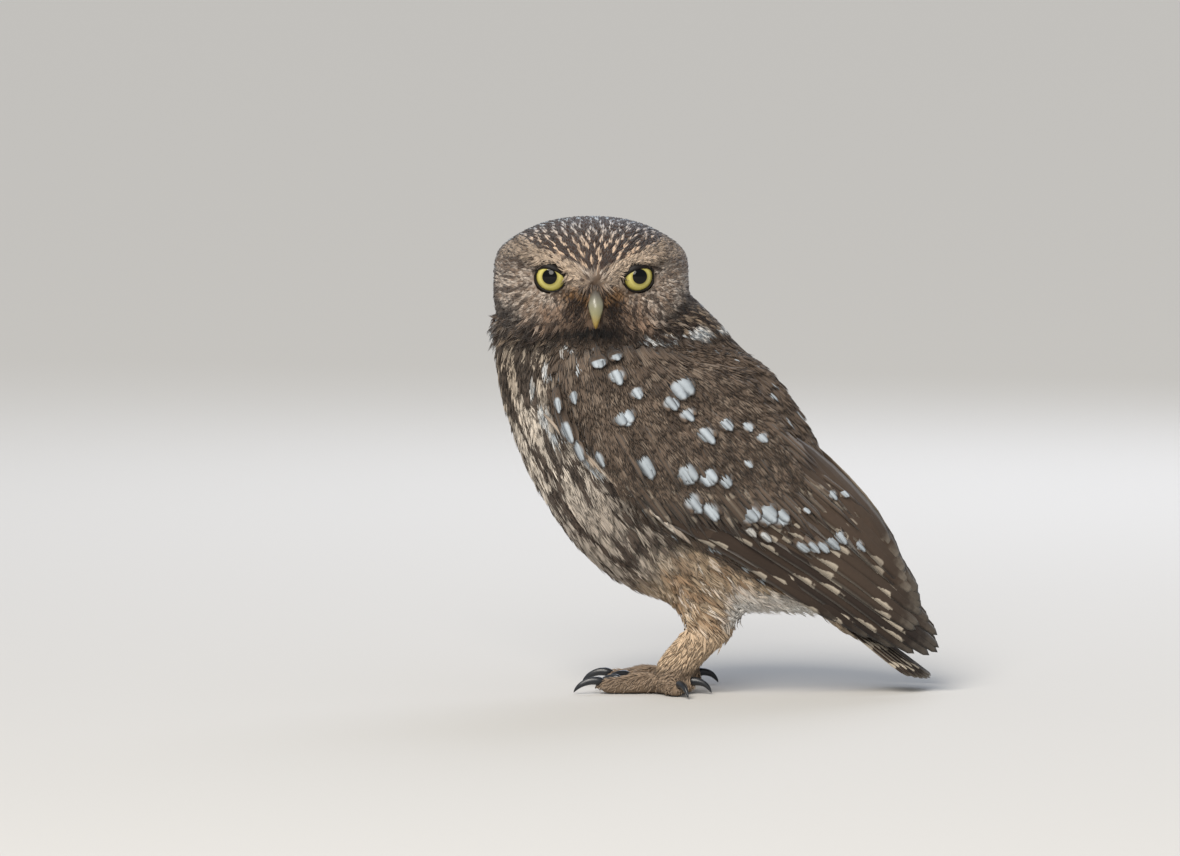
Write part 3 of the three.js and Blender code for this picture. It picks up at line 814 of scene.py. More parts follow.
@dataclass(frozen=True)
class Markings:
    """The markings of the plumage, the same for the skin and for what grows from it."""

    seed: int = 11

    def draw(self, points: Array, low: float = 0.0, high: float = 1.0) -> Array:
        """Draws one seeded number for each feather."""
        return np.random.default_rng(self.seed + len(points)).uniform(low, high, len(points))

    def head(self, points: Array) -> Plumes:
        """Paints the head, with painted shadows under the brows and under the face's lower rim.

        Args:
            points: Places in the drawing.

        Returns:
            What feathers there carry.
        """
        count = len(points)
        local = HEAD.to_head(points)
        x, y, z = local.T
        side = np.abs(x)
        chance = self.draw(points)
        front = ramp(-y, -2, 8)
        low, top = brow_edge(side), brow_top(side)
        disc = np.hypot(side / 36, (z + 1) / 16)
        streaks = rays(local) + 0.5 * (chance - 0.5)

        face = blend(Tint.FACE, Tint.FACE_LIGHT, ramp(streaks, -0.5, 0.3))
        face = washed(face, Tint.FACE_DARK, ramp(streaks, 0.12, 0.4) * 0.9)
        lower = ramp(-z, 4, 9) * ramp(side, 26, 16)
        moustache = blend(Tint.LOWER_DISC, Tint.FACE_DARK, ramp(streaks, 0.1, 0.4))
        face = mixed(face, moustache, lower * 0.8)
        rufous = blend(Tint.RUFOUS, Tint.BRISTLE, ramp(streaks, -0.1, 0.35))
        face = mixed(face, rufous, np.clip(1.5 * blot(local, 5, -3.5, 6, 5), 0, 1))
        beside_bill = np.clip(blot(local, 6, -8, 3.4, 3.6) * (0.7 + chance), 0, 0.92)
        face = washed(face, Tint.BRISTLE, beside_bill)
        face = washed(face, Tint.BRISTLE, 0.85 * blot(local, 12, -1.4, 4.5, 1.5))
        face = washed(face, Tint.FACE_DARK, 0.7 * blot(local, 30, 9, 4.5, 2.6) * (0.4 + 0.6 * chance))
        # Painted shadow: a thin dark line just under each brow, over the eye, where the brow's feathers
        # overhang it
        face = washed(face, Tint.FACE_DARK, 0.7 * blot(local, 20, 8.6, 5, 1.2))
        face = washed(face, Tint.BRISTLE, 0.7 * blot(local, 0, 1.2, 2.4, 2.2))

        brow = blend(Tint.BROW, Tint.BROW_END, ramp(side, 12, 24))
        brow = washed(brow, Tint.FACE_DARK, 0.55 * ramp(streaks, 0.35, 0.6) + 0.4 * (chance > 0.9))
        lore = 0.8 * blot(local, 7.5, 2.4, 4, 2.2)
        on_brow = np.maximum(ramp(z, low - 0.8, low + 0.4) * ramp(side, 4, 7.5), lore)
        on_brow *= (1 - ramp(z, top - 0.6, top + 0.5)) * front
        on_crown = 1 - (1 - ramp(z, top - 0.5, top + 0.5)) * front
        back = ramp(y, -12, 4)
        drop = blend(Tint.CROWN_DROP, Tint.SPOT, np.clip(back + ramp(z, 14, 24) * 0.7, 0, 1))
        crown = tinted(count, Tint.CROWN) * (0.8 + 0.5 * chance[:, None])
        crown = mixed(crown, drop, in_drops(local) * 0.95)

        ground = mixed(face, brow, on_brow)
        ground = mixed(ground, crown, on_crown)
        forehead = 0.85 * blot(local, 0, 3.4, 2.9, 2.8) * (0.6 + 0.4 * chance)
        ground = washed(ground, Tint.FACE_DARK, forehead)
        band = ramp(disc, 0.93, 1.0) * ramp(disc, 1.22, 1.08) * ramp(-z, -3, 5) * front
        ground = washed(ground, Tint.RUFF, band * (0.72 + 0.28 * chance))
        beyond = ramp(disc, 1.08, 1.2) * ramp(-z, 2, 8) * front
        jowl = blend(Tint.RUFF, Tint.JOWL, ramp(ripple(points, 8, 3.4), 0.0, 0.4) * 0.85)
        ground = mixed(ground, jowl, beyond)
        # The dark line under the chin: the bird's own dark band, deepened by painted shadow where the face's
        # lower rim overlaps the throat
        chin = np.clip(1.6 * blot(local, 0, -16.5, 8.5, 1.7), 0, 1) * front
        ground = washed(ground, Tint.CHIN, chin)
        return Plumes.plain(ground, drop)

    def body(self, points: Array) -> Plumes:
        """Paints the neck, breast, belly, legs and back.

        Args:
            points: Places in the drawing.

        Returns:
            What feathers there carry.
        """
        count = len(points)
        x, _, z = points.T
        chance = self.draw(points)
        other = np.random.default_rng(self.seed + 1 + count).random(count)
        under = under_side(points)
        throat = 1 - ramp(under + 6 * ripple(points, 3, 22), 10, 28)
        buff = ramp(under + 4 * ripple(points, 4, 18), 74, 90)
        runs = belly_streaks(points) + 0.45 * (chance - 0.5)
        pale = blend(Tint.BREAST_LIGHT, Tint.BELLY, ramp(under, 40, 66) * (1 - buff))
        pale = washed(pale, Tint.VENT, buff)
        pale = washed(pale, Tint.THIGH, buff * ramp(runs, -0.2, 0.4) * ramp(z, 62, 40))
        fringe = ramp(z + 2 * ripple(points, 6, 7), 37, 32) * ramp(x, 29, 34)
        pale = washed(pale, Tint.FRINGE, np.maximum(fringe, 0.5 * buff * ramp(other, 0.75, 1)))
        dark = blend(Tint.BREAST_DARK, Tint.NECK, throat)
        darkness = ramp(runs, 0.02 - 0.5 * throat, 0.16 - 0.5 * throat) * (1 - buff)
        ground = mixed(washed(pale, Tint.NECK_STREAK, throat), dark, darkness * 0.92)
        ground = ground * (0.85 + 0.3 * other[:, None])
        back = self.back_share(points)
        mantle = blend(Tint.MANTLE, Tint.MANTLE_DARK, chance)
        ground = mixed(ground, mantle, back)
        nape = back * ramp(z, 118, 126)
        ground = washed(ground, Tint.NECK, nape * 0.6)
        spot = 0.9 * (other > 0.95) * back * (1 - nape)
        mark = blend(Tint.MANTLE_EDGE, Tint.SPOT, ramp(spot, 0, 0.1))
        edge = 0.35 * back * (other > 0.5)
        shank = ramp(z, 25, 19)
        ground = washed(ground, Tint.SHANK, shank)
        foot = ramp(z, 11, 7)
        ground = washed(ground, Tint.TOE, foot)
        ground = ground * (0.9 + 0.2 * other[:, None] + 0.25 * (foot * (chance - 0.5))[:, None])
        nothing = np.zeros(count)
        return Plumes(ground, mark, spot, nothing, nothing, edge)

    def back_share(self, points: Array) -> Array:
        """Tells how far each point lies in the brown upper side rather than the streaked underside."""
        x, _, z = points.T
        front_edge = np.interp(z, [20, 40, 56, 67, 103, 125, 135], [120, 44, 14, 0, -34, -30, -22])
        return ramp(x - front_edge, -3, 3)

    def whole(self, points: Array) -> Plumes:
        """Paints any point of the owl, with the head's markings above the chin.

        Args:
            points: Places in the drawing.

        Returns:
            The colours and marks of a feather at each place.
        """
        head, body = self.head(points), self.body(points)
        _, y, z = HEAD.to_head(points).T
        share = ramp(z, -21.5, -18.5) * ramp(z - 0.35 * np.maximum(y, 0), -21, -17)
        fields = []
        for key in Plumes.__dataclass_fields__:
            first, second = getattr(body, key), getattr(head, key)
            weight = share[:, None] if first.ndim == 2 else share
            fields.append(first * (1 - weight) + second * weight)
        plumes = Plumes(*fields)
        plumes.ground = self.with_patches(points, plumes.ground)
        return plumes

    def with_patches(self, points: Array, ground: Array) -> Array:
        """Lays the pale patches of the collar and of the wing's front edge over a colour.

        Args:
            points: Places in the drawing.
            ground: The colour at each without patches.

        Returns:
            The colour at each place.
        """
        patches = np.array(PATCHES)
        across = (points[:, None, 0] - patches[:, 0]) / patches[:, 2]
        above = (points[:, None, 2] - patches[:, 1]) / patches[:, 3]
        reach = np.hypot(across, above).min(axis=1)
        share = ramp(reach + 0.25 * ripple(points, 9, 3), 1.15, 0.8)
        pale = blend(Tint.SPOT, Tint.FRINGE, self.draw(points))
        return mixed(ground, pale, share)


MARKINGS = Markings()

# Pale patches in the side view, of the collar and then of the wing's front edge: their places and half sizes.
PATCHES = [
    (3, 127.2, 3.8, 1.6), (11, 126.6, 3.2, 1.9), (22, 128.4, 4.6, 2.6), (30, 129.5, 1.8, 1.4),
    (-34, 99.5, 2.6, 3.8), (-24, 93.5, 3.4, 2.6), (-30.5, 92.5, 1.8, 2.8), (-19, 86, 2.4, 2.4),
    (-14, 81, 1.6, 2.2), (-26.6, 122, 0.8, 2.2), (-23.4, 119, 0.8, 2.2), (-28.6, 113, 0.8, 2.2),
    (-33, 116, 0.7, 2.4), (-38, 109, 0.8, 3),
]  # fmt: skip

# Directions of the body's feathers in the side view: a place in the drawing and degrees up from +X.
FLOW = [
    (-46, 126, -100), (-54, 112, -92), (-52, 98, -82), (-46, 84, -68), (-36, 66, -58), (-24, 52, -50),
    (-8, 40, -44), (10, 32, -48), (28, 30, -40), (50, 27, -32), (66, 24, -34), (26, 46, -52), (-8, 62, -54),
    (-28, 88, -64), (-30, 108, -72), (-16, 122, -72), (8, 134, -62), (22, 128, -54), (34, 120, -50),
    (48, 104, -54), (60, 88, -58), (72, 68, -57), (16, 106, -58), (4, 92, -58), (28, 84, -50),
    (46, 66, -42), (70, 45, -34), (90, 25, -36),
]  # fmt: skip


def lie(points: Array, normals: Array) -> Array:
    """Gives the direction in which the feathers lie.

    Args:
        points: Places in the drawing.
        normals: The surface's normals there.

    Returns:
        Directions along the surface.
    """
    places = np.array([(x, z) for x, z, _ in FLOW], float)
    angles = np.radians([angle for _, _, angle in FLOW])
    apart = ((points[:, None, (0, 2)] - places[None]) ** 2).sum(axis=2)
    weight = 1 / (apart + 30) ** 1.5
    body = unit(np.stack([weight @ np.cos(angles), np.zeros(len(points)), weight @ np.sin(angles)], axis=1))
    body[:, 1] = 0.18 * np.sign(points[:, 1]) * ramp(-points[:, 0], 0, 40) * ramp(np.abs(points[:, 1]), 0, 12)
    legs = ramp(points[:, 2], 26, 20)[:, None]
    body = unit(body) * (1 - legs) + np.array([-0.5, 0, -0.85]) * legs

    local = HEAD.to_head(points)
    x, y, z = local.T
    side = np.sign(x)
    from_bill = local - np.array([0.0, -29.0, 1.5])
    from_eye = local - sideways(side * HEAD.eye_spacing / 2, -25.0, HEAD.eye_height)
    distance = np.linalg.norm(from_eye, axis=1)
    near_eye = np.exp(-((distance / 11.5) ** 2))[:, None]
    brow = brow_edge(np.abs(x))
    below_brow = (1 - ramp(z, brow - 1, brow + 1.5))[:, None]
    head = unit(from_bill) * (1 - near_eye * below_brow) + unit(from_eye) * near_eye * below_brow * 1.6
    cheek = ramp(-z, 0, 12) * ramp(-y, 0, 10)
    head += sideways(side * 0.1, 0.0, -0.55) * cheek[:, None]
    along_brow = np.exp(-(((z - brow - 1.2) / 2) ** 2)) * ramp(-y, 4, 12)
    head = mixed(unit(head), unit(sideways(side, 0.25, 0.5)), along_brow * 0.85)
    falling = ramp(y, 0, 16) * ramp(z, 22, 8)
    head = mixed(unit(head), np.array([0.25, 0.1, -1.0]), falling)
    head = head @ HEAD.axes()
    share = ramp(z, -22, -15)
    way = mixed(unit(body), unit(head), share)
    return unit(way - normals * dotted(way, normals))


@dataclass(frozen=True)
class Skin:
    """The one skin of head, body, legs and toes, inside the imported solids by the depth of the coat."""

    voxel: float = 1.1
    smoothings: int = 5
    wing_depth: float = 3.4  # from the wing's surface down to the skin under its feathers

    def depth(self, points: Array) -> Array:
        """Gives the depth of the coat in millimetres at places of the drawing.

        Args:
            points: Places in the drawing.

        Returns:
            Millimetres for each place.
        """
        x, y, z = HEAD.to_head(points).T
        on_head = ramp(z, -21, -15)
        face = on_head * ramp(-y, 4, 14)
        corner = on_head * np.exp(-(((z - 11) / 6) ** 2)) * ramp(np.abs(x), 20, 29)
        depth = 3.6 + (1.6 - 3.6) * on_head
        depth += (1.1 - depth) * face
        depth -= depth * corner
        legs = ramp(points[:, 2], 30, 20)
        depth += (1.1 - depth) * legs
        return depth + (0.45 - depth) * ramp(points[:, 2], 11, 8)

    def build(self, frame: dict[str, Any], hull: Surface, drawing: Drawing) -> Mesh:
        """Makes the skin's mesh.

        Args:
            frame: The loaded frame.
            hull: The outer surface of the whole bird.
            drawing: The drawing's place.

        Returns:
            The mesh with its colours.
        """
        mesh = remeshed(copied_nodes(frame, FLESH, 0.4), self.voxel, self.smoothings)
        surface = Surface(mesh, drawing)
        furthest = 9.0
        gaps = np.zeros(len(surface.points))
        for row, (place, normal) in enumerate(zip(surface.points.tolist(), surface.normals.tolist())):
            start = Vector(place) + Vector(normal) * 0.2
            _, _, _, distance = hull.tree.ray_cast(start, Vector(normal), furthest)
            gaps[row] = distance or 0.0
        covered = (surface.points[:, 2] > 30) & (surface.points[:, 2] < 128) & (gaps > 1.2)
        out = np.where(covered, np.clip(gaps - self.wing_depth, -2, 3.4), -self.depth(surface.points))
        shaped = bmesh.new()
        shaped.from_mesh(mesh)
        shaped.verts.ensure_lookup_table()
        neighbours = []
        for vertex in shaped.verts:
            neighbours.append([edge.other_vert(vertex).index for edge in vertex.link_edges])
        width = max(len(row) for row in neighbours)
        table = np.array([row + [row[0]] * (width - len(row)) for row in neighbours])
        for _ in range(12):
            out = 0.4 * out + 0.6 * out[table].mean(axis=1)
        places = drawing.to_frame(surface.points + surface.normals * out[:, None])
        for vertex, place in zip(shaped.verts, places):
            vertex.co = place
        bmesh.ops.smooth_vert(shaped, verts=shaped.verts, factor=0.4, **EVERY_WAY)
        shaped.to_mesh(mesh)
        shaped.free()
        mesh.shade_smooth()
        points = Surface(mesh, drawing).points
        plumes = MARKINGS.whole(points)
        plumes.ground *= 0.7  # what shows between feathers is their shaded down
        set_colours(mesh, plumes, np.arange(len(points)))
        mesh.name = "skin"
        return mesh


def laid(
    surface: Surface, roots: Array, ways: Array, lengths: Array, form: VaneForm, sink: float, rise: Array
) -> tuple[Array, Array]:
    """Lays feathers along a surface.

    Args:
        surface: What they lie on.
        roots: Their roots.
        ways: Their directions.
        lengths: Their lengths.
        form: Their form, for its stations.
        sink: How deep the roots sit.
        rise: How far each tip stands over the surface.

    Returns:
        The paths of their shafts and the normals along them.
    """
    shares = np.array(form.along + (1.0,))
    straight = roots[:, None] + ways[:, None] * lengths[:, None, None] * shares[None, :, None]
    places, normals = surface.nearest(straight)
    lift = rise[:, None] * shares[None] ** 0.8 - sink * (1 - shares[None]) ** 2
    return places + normals * lift[..., None], normals


def split(
    batch: Feathers,
    count: int,
    spread: float,
    ragged: float,
    seed: int,
    overlap: float = 1.35,
    loose: float = 1.0,
) -> Feathers:
    """Parts each feather into strands that fan out, as loose barbs do.

    Args:
        batch: The feathers.
        count: Strands for each.
        spread: How much wider the fan is at the tip than at the root.
        ragged: How much shorter the shortest strands are.
        seed: The seed of the draw.
        overlap: The strands' width in shares of what would just cover the feather.
        loose: How far the strands stray from their places, 1 in fluffy feathers.

    Returns:
        The strands.
    """
    draw = np.random.default_rng(seed)
    feathers, stations = batch.paths.shape[:2]
    total = feathers * count
    rows = np.repeat(np.arange(feathers), count)
    number = np.tile(np.arange(count), feathers)
    centre = (number + 0.5) / count * 2 - 1
    shares = np.linspace(0, 1, stations)[None]
    short = 1 - ragged * draw.random(total) - 0.12 * np.abs(centre)
    paths, normals = batch.paths[rows], batch.normals[rows]
    paths = paths[:, :1] + (paths - paths[:, :1]) * short[:, None, None]
    sides = unit(np.cross(unit(np.gradient(batch.paths, axis=1)), batch.normals))[rows]
    shift = draw.normal(0, 0.12 * loose, total)
    offset = (centre + shift)[:, None] * (0.55 + spread * shares) * batch.half_width[rows, None]
    lift = loose * draw.uniform(-0.12, 0.3, total)[:, None] * shares * batch.half_width[rows, None]
    paths = paths + sides * offset[..., None] + normals * lift[..., None]
    fields = {key: getattr(batch.plumes, key)[rows] for key in Plumes.__dataclass_fields__}
    jitter = draw.uniform(0.86, 1.14, total)[:, None]
    fields["ground"] = fields["ground"] * jitter
    fields["mark"] = fields["mark"] * jitter
    share = (number / count, (number + 1) / count)
    widths = batch.half_width[rows] / count * overlap
    return Feathers(paths, normals, widths, Plumes(**fields), share, batch.camber)


@dataclass(frozen=True)
class Tract:
    """A field of like feathers: where it is, how close they stand, and their size in millimetres."""

    name: str
    slot: str
    where: Callable[[Array, Array], Array]
    size: Callable[[Array], tuple[Array, Array]]
    spacing: float
    form: VaneForm = STRAND
    strands: int = 1
    spread: float = 0.5
    ragged: float = 0.25
    sink: float = 0.4
    rise: float = 0.8
    toss: float = 0.12
    seed: int = 1
    lay: Callable[[Array, Array], Array] = lie
    shown_at: float = 0.6  # where along it a feather takes its colour from
    tint: Tint | None = None  # the one colour of the tract, where it isn't the skin's own

    def grown(self, surface: Surface) -> Feathers:
        """Grows the tract's feathers from a surface.

        Args:
            surface: What the feathers grow from.

        Returns:
            The feathers, parted into strands.
        """
        roots, normals = surface.scattered(self.spacing, self.seed, self.where)
        draw = np.random.default_rng(self.seed + 100)
        lengths, widths = self.size(roots)
        lengths = lengths * draw.uniform(0.82, 1.12, len(roots))
        ways = self.lay(roots, normals)
        ways = unit(ways + np.cross(normals, ways) * draw.normal(0, self.toss, len(roots))[:, None])
        rise = self.rise * draw.uniform(0.4, 1.5, len(roots))
        paths, along = laid(surface, roots, ways, lengths, self.form, self.sink, rise)
        plumes = MARKINGS.whole(roots + ways * lengths[:, None] * self.shown_at)
        if self.tint:
            plumes.ground = tinted(len(roots), self.tint) * draw.uniform(0.7, 1.3, (len(roots), 1))
        batch = Feathers(paths, along, widths, plumes)
        return split(batch, self.strands, self.spread, self.ragged, self.seed) if self.strands > 1 else batch


def clear_of_eyes(points: Array) -> Array:
    """Tells where feathers may grow round the eyes: outside the rims of the lids.

    Args:
        points: Places in the drawing.

    Returns:
        1 at each place off the eyes, 0 on them.
    """
    local = HEAD.to_head(points)
    apart = np.min([np.linalg.norm(local - HEAD.eye(side), axis=1) for side in (-1, 1)], axis=0)
    x, y, z = local.T
    rims = []
    for side in (-1, 1):
        lid_edge = HEAD.eye_height + 2.2 + 0.3 * (np.abs(x) - 16.2)
        high = np.where(z > HEAD.eye_height - 0.8, lid_edge - HEAD.eye_height + 0.8, 4.4)
        seen = ((x - side * 16.2) / 5.6) ** 2 + ((z - HEAD.eye_height + 0.8) / np.maximum(high, 0.5)) ** 2
        rims.append((seen < 1) & (y < -18))
    return ~(np.any(rims, axis=0)) & (apart > 7.3)


def head_share(points: Array) -> Array:
    """Tells how far points belong to the head rather than the neck."""
    z = HEAD.to_head(points)[:, 2]
    return ramp(z, -20, -17)


def on_face(points: Array, normals: Array) -> Array:
    """Gives the chance of a face feather at each place."""
    x, y, z = HEAD.to_head(points).T
    below_crown = z < brow_top(np.abs(x)) + 0.3
    bill = (np.abs(x) < 0.6 + 1.6 * ramp(-z, 1, 6)) & (z < -1.5) & (z > -13)
    return head_share(points) * below_crown * (y < 3) * clear_of_eyes(points) * ~bill


def on_brows(points: Array, normals: Array) -> Array:
    """Gives the chance of a feather of the brows, which hang over the eyes, at each place."""
    x, y, z = HEAD.to_head(points).T
    side = np.abs(x)
    above = z - brow_edge(side)
    return (above > -0.3) * (above < 2.6) * ramp(side, 7, 10) * ramp(side, 26, 22) * (y < -12) * 1.0


def over_the_eyes(points: Array, normals: Array) -> Array:
    """Gives the direction of the brows' feathers: outwards and a little down over the lids."""
    x = HEAD.to_head(points)[:, 0]
    return unit(sideways(np.sign(x), -0.1, -0.42) @ HEAD.axes())


def on_bill_root(points: Array, normals: Array) -> Array:
    """Gives the chance of a bristle that hangs over the bill's root at each place."""
    x, y, z = HEAD.to_head(points).T
    return (np.abs(x) < 4.6) * (z > -3.5 + 0.2 * np.abs(x)) * (z < 2.4) * (y < -18) * 1.0


def over_the_bill(points: Array, normals: Array) -> Array:
    """Gives the direction of the bristles over the bill: down and away from its ridge."""
    x = HEAD.to_head(points)[:, 0]
    return unit(sideways(0.16 * x, -0.5, -1.0) @ HEAD.axes())


def on_moustache(points: Array, normals: Array) -> Array:
    """Gives the chance of one of the dark bristles that curve away from the bill at each place."""
    x, y, z = HEAD.to_head(points).T
    side = np.abs(x)
    return ramp(side, 2.4, 3.6) * ramp(side, 11, 8) * ramp(z, -16, -13) * ramp(z, -1, -4) * (y < -12)


def beside_the_bill(points: Array, normals: Array) -> Array:
    """Gives the direction of the moustache: down, outwards and off the face."""
    x = HEAD.to_head(points)[:, 0]
    return unit(sideways(0.55 * np.sign(x), -0.4, -0.8) @ HEAD.axes())


def on_crown(points: Array, normals: Array) -> Array:
    """Gives the chance of a crown or nape feather at each place."""
    x, y, z = HEAD.to_head(points).T
    crown = (z >= brow_top(np.abs(x)) - 0.5) | (y >= 3)
    return head_share(points) * crown * clear_of_eyes(points)


def on_ruff(points: Array, normals: Array) -> Array:
    """Gives the chance of a loose feather of the ruff under the face's rim at each place."""
    x, y, z = HEAD.to_head(points).T
    near = ramp(points[:, 0], 14, 4) * (y < 12)
    return ramp(z, -20, -17) * ramp(z, -9, -12) * ramp(np.abs(x), 9, 16) * near


def on_neck(points: Array, normals: Array) -> Array:
    """Gives the chance of a loose neck or upper breast feather at each place."""
    under = under_side(points)
    front = 1 - MARKINGS.back_share(points)
    near = np.maximum(front * ramp(under, 30, 24), ramp(points[:, 2], 117, 121) * (1 - front))
    return (1 - head_share(points)) * near * (points[:, 2] > 90)


def on_breast(points: Array, normals: Array) -> Array:
    """Gives the chance of a breast or belly feather at each place."""
    under = under_side(points)
    front = ramp(1 - MARKINGS.back_share(points), 0.05, 0.4)
    belly = ramp(under, 22, 28) * ramp(under, 74, 66) * (points[:, 2] > 32)
    return front * belly * (1 - head_share(points))


def on_vent(points: Array, normals: Array) -> Array:
    """Gives the chance of a soft buff feather of the thighs, vent and undertail at each place."""
    front = 1 - MARKINGS.back_share(points)
    return front * ramp(under_side(points), 64, 72) * (points[:, 2] > 22)


def on_vent_edge(points: Array, normals: Array) -> Array:
    """Gives the chance of a loose white feather of the vent's lower edge at each place."""
    x, _, z = points.T
    return (normals[:, 2] < -0.3) * ramp(x, 32, 36) * ramp(x, 62, 56) * (z < 36) * 1.0


def on_back(points: Array, normals: Array) -> Array:
    """Gives the chance of a mantle feather at each place that the wings leave open."""
    shown = (np.abs(normals[:, 1]) < 0.95) | (points[:, 2] > 105)
    upper = ramp(MARKINGS.back_share(points), 0.3, 0.6) * (points[:, 2] > 30)
    return shown * upper * (1 - head_share(points))


def on_shanks(points: Array, normals: Array) -> Array:
    """Gives the chance of a tuft of down on the shanks at each place."""
    return ((points[:, 2] > 6) & (points[:, 2] <= 26)).astype(float)


def on_toes(points: Array, normals: Array) -> Array:
    """Gives the chance of a bristle on the upper side of the toes at each place."""
    return (points[:, 2] > 1.5) * (points[:, 2] < 8.5) * ramp(normals[:, 2], -0.1, 0.5)


def even(length: float, half_width: float) -> Callable[[Array], tuple[Array, Array]]:
    """Gives one length and half width to all the feathers of a tract."""
    return lambda points: (np.full(len(points), length), np.full(len(points), half_width))


def face_size(points: Array) -> tuple[Array, Array]:
    """Gives the face's feathers their sizes: short round the eyes and on the brow, longer on the disc."""
    x, _, z = HEAD.to_head(points).T
    side = np.abs(x)
    eye = np.hypot(side - 16.5, z - HEAD.eye_height)
    length = 2.8 + 2.8 * ramp(eye, 6, 14) + 1.6 * ramp(-z, 4, 12)
    length += 1.2 * ramp(side, 10, 6) * ramp(z, 4, 0)
    return length, np.full(len(points), 0.5)


TRACTS = [
    Tract(
        "face_feathers", "head_plumage", on_face, face_size, 0.9, BRISTLE, 3,
        rise=0.6, ragged=0.4, toss=0.16, seed=21,
    ),
    Tract(
        "brow_feathers", "head_plumage", on_brows, even(4.6, 0.5), 0.7, BRISTLE, 3,
        rise=2.2, ragged=0.4, toss=0.12, seed=29, lay=over_the_eyes, shown_at=0.0,
    ),
    Tract(
        "crown_feathers", "head_plumage", on_crown, even(4.4, 0.6), 0.82, BRISTLE,
        rise=0.5, toss=0.08, seed=22,
    ),
    Tract(
        "ruff_feathers", "head_plumage", on_ruff, even(8.0, 0.6), 1.5, BRISTLE, 4,
        rise=3.0, ragged=0.5, toss=0.3, spread=0.9, seed=33, shown_at=0.1,
    ),
    Tract(
        "neck_feathers", "neck_plumage", on_neck, even(10, 0.8), 1.15, STRAND, 3,
        rise=1.3, ragged=0.4, toss=0.2, seed=23,
    ),
    Tract(
        "breast_feathers", "body_plumage", on_breast, even(12, 1.0), 1.5, STRAND, 3,
        rise=1.4, ragged=0.35, seed=24,
    ),
    Tract(
        "vent_feathers", "body_plumage", on_vent, even(11, 1.0), 1.65, STRAND, 4,
        rise=1.8, ragged=0.4, toss=0.2, seed=25,
    ),
    Tract(
        "vent_fringe", "body_plumage", on_vent_edge, even(8, 0.6), 1.5, STRAND, 4,
        rise=2.8, ragged=0.5, toss=0.35, spread=1.2, seed=31,
    ),
    Tract(
        "mantle_feathers", "wing_plumage", on_back, even(10.5, 1.4), 2.1, STRAND, 3,
        rise=1.2, toss=0.14, seed=26,
    ),
    Tract(
        "bill_bristles", "head_plumage", on_bill_root, even(6.0, 0.28), 0.6, BRISTLE, 2,
        rise=3.6, ragged=0.5, toss=0.25, seed=30, lay=over_the_bill, shown_at=0.1,
    ),
    Tract(
        "moustache_bristles", "head_plumage", on_moustache, even(6.4, 0.17), 1.25, BRISTLE, 2,
        rise=2.4, ragged=0.5, toss=0.4, seed=34, lay=beside_the_bill, tint=Tint.BRISTLE,
    ),
    Tract(
        "shank_down", "leg_plumage", on_shanks, even(5.0, 0.34), 0.7, BRISTLE,
        rise=0.8, toss=0.16, seed=27,
    ),
    Tract(
        "toe_bristles", "toe_bristles", on_toes, even(4.2, 0.22), 0.8, BRISTLE,
        rise=0.9, toss=0.4, seed=28,
    ),
]  # fmt: skip


BARB_SPACING = 0.42  # millimetres; real barbs are about half as far apart, too fine to show
BARS = 3.8  # pale bars along a barred vane

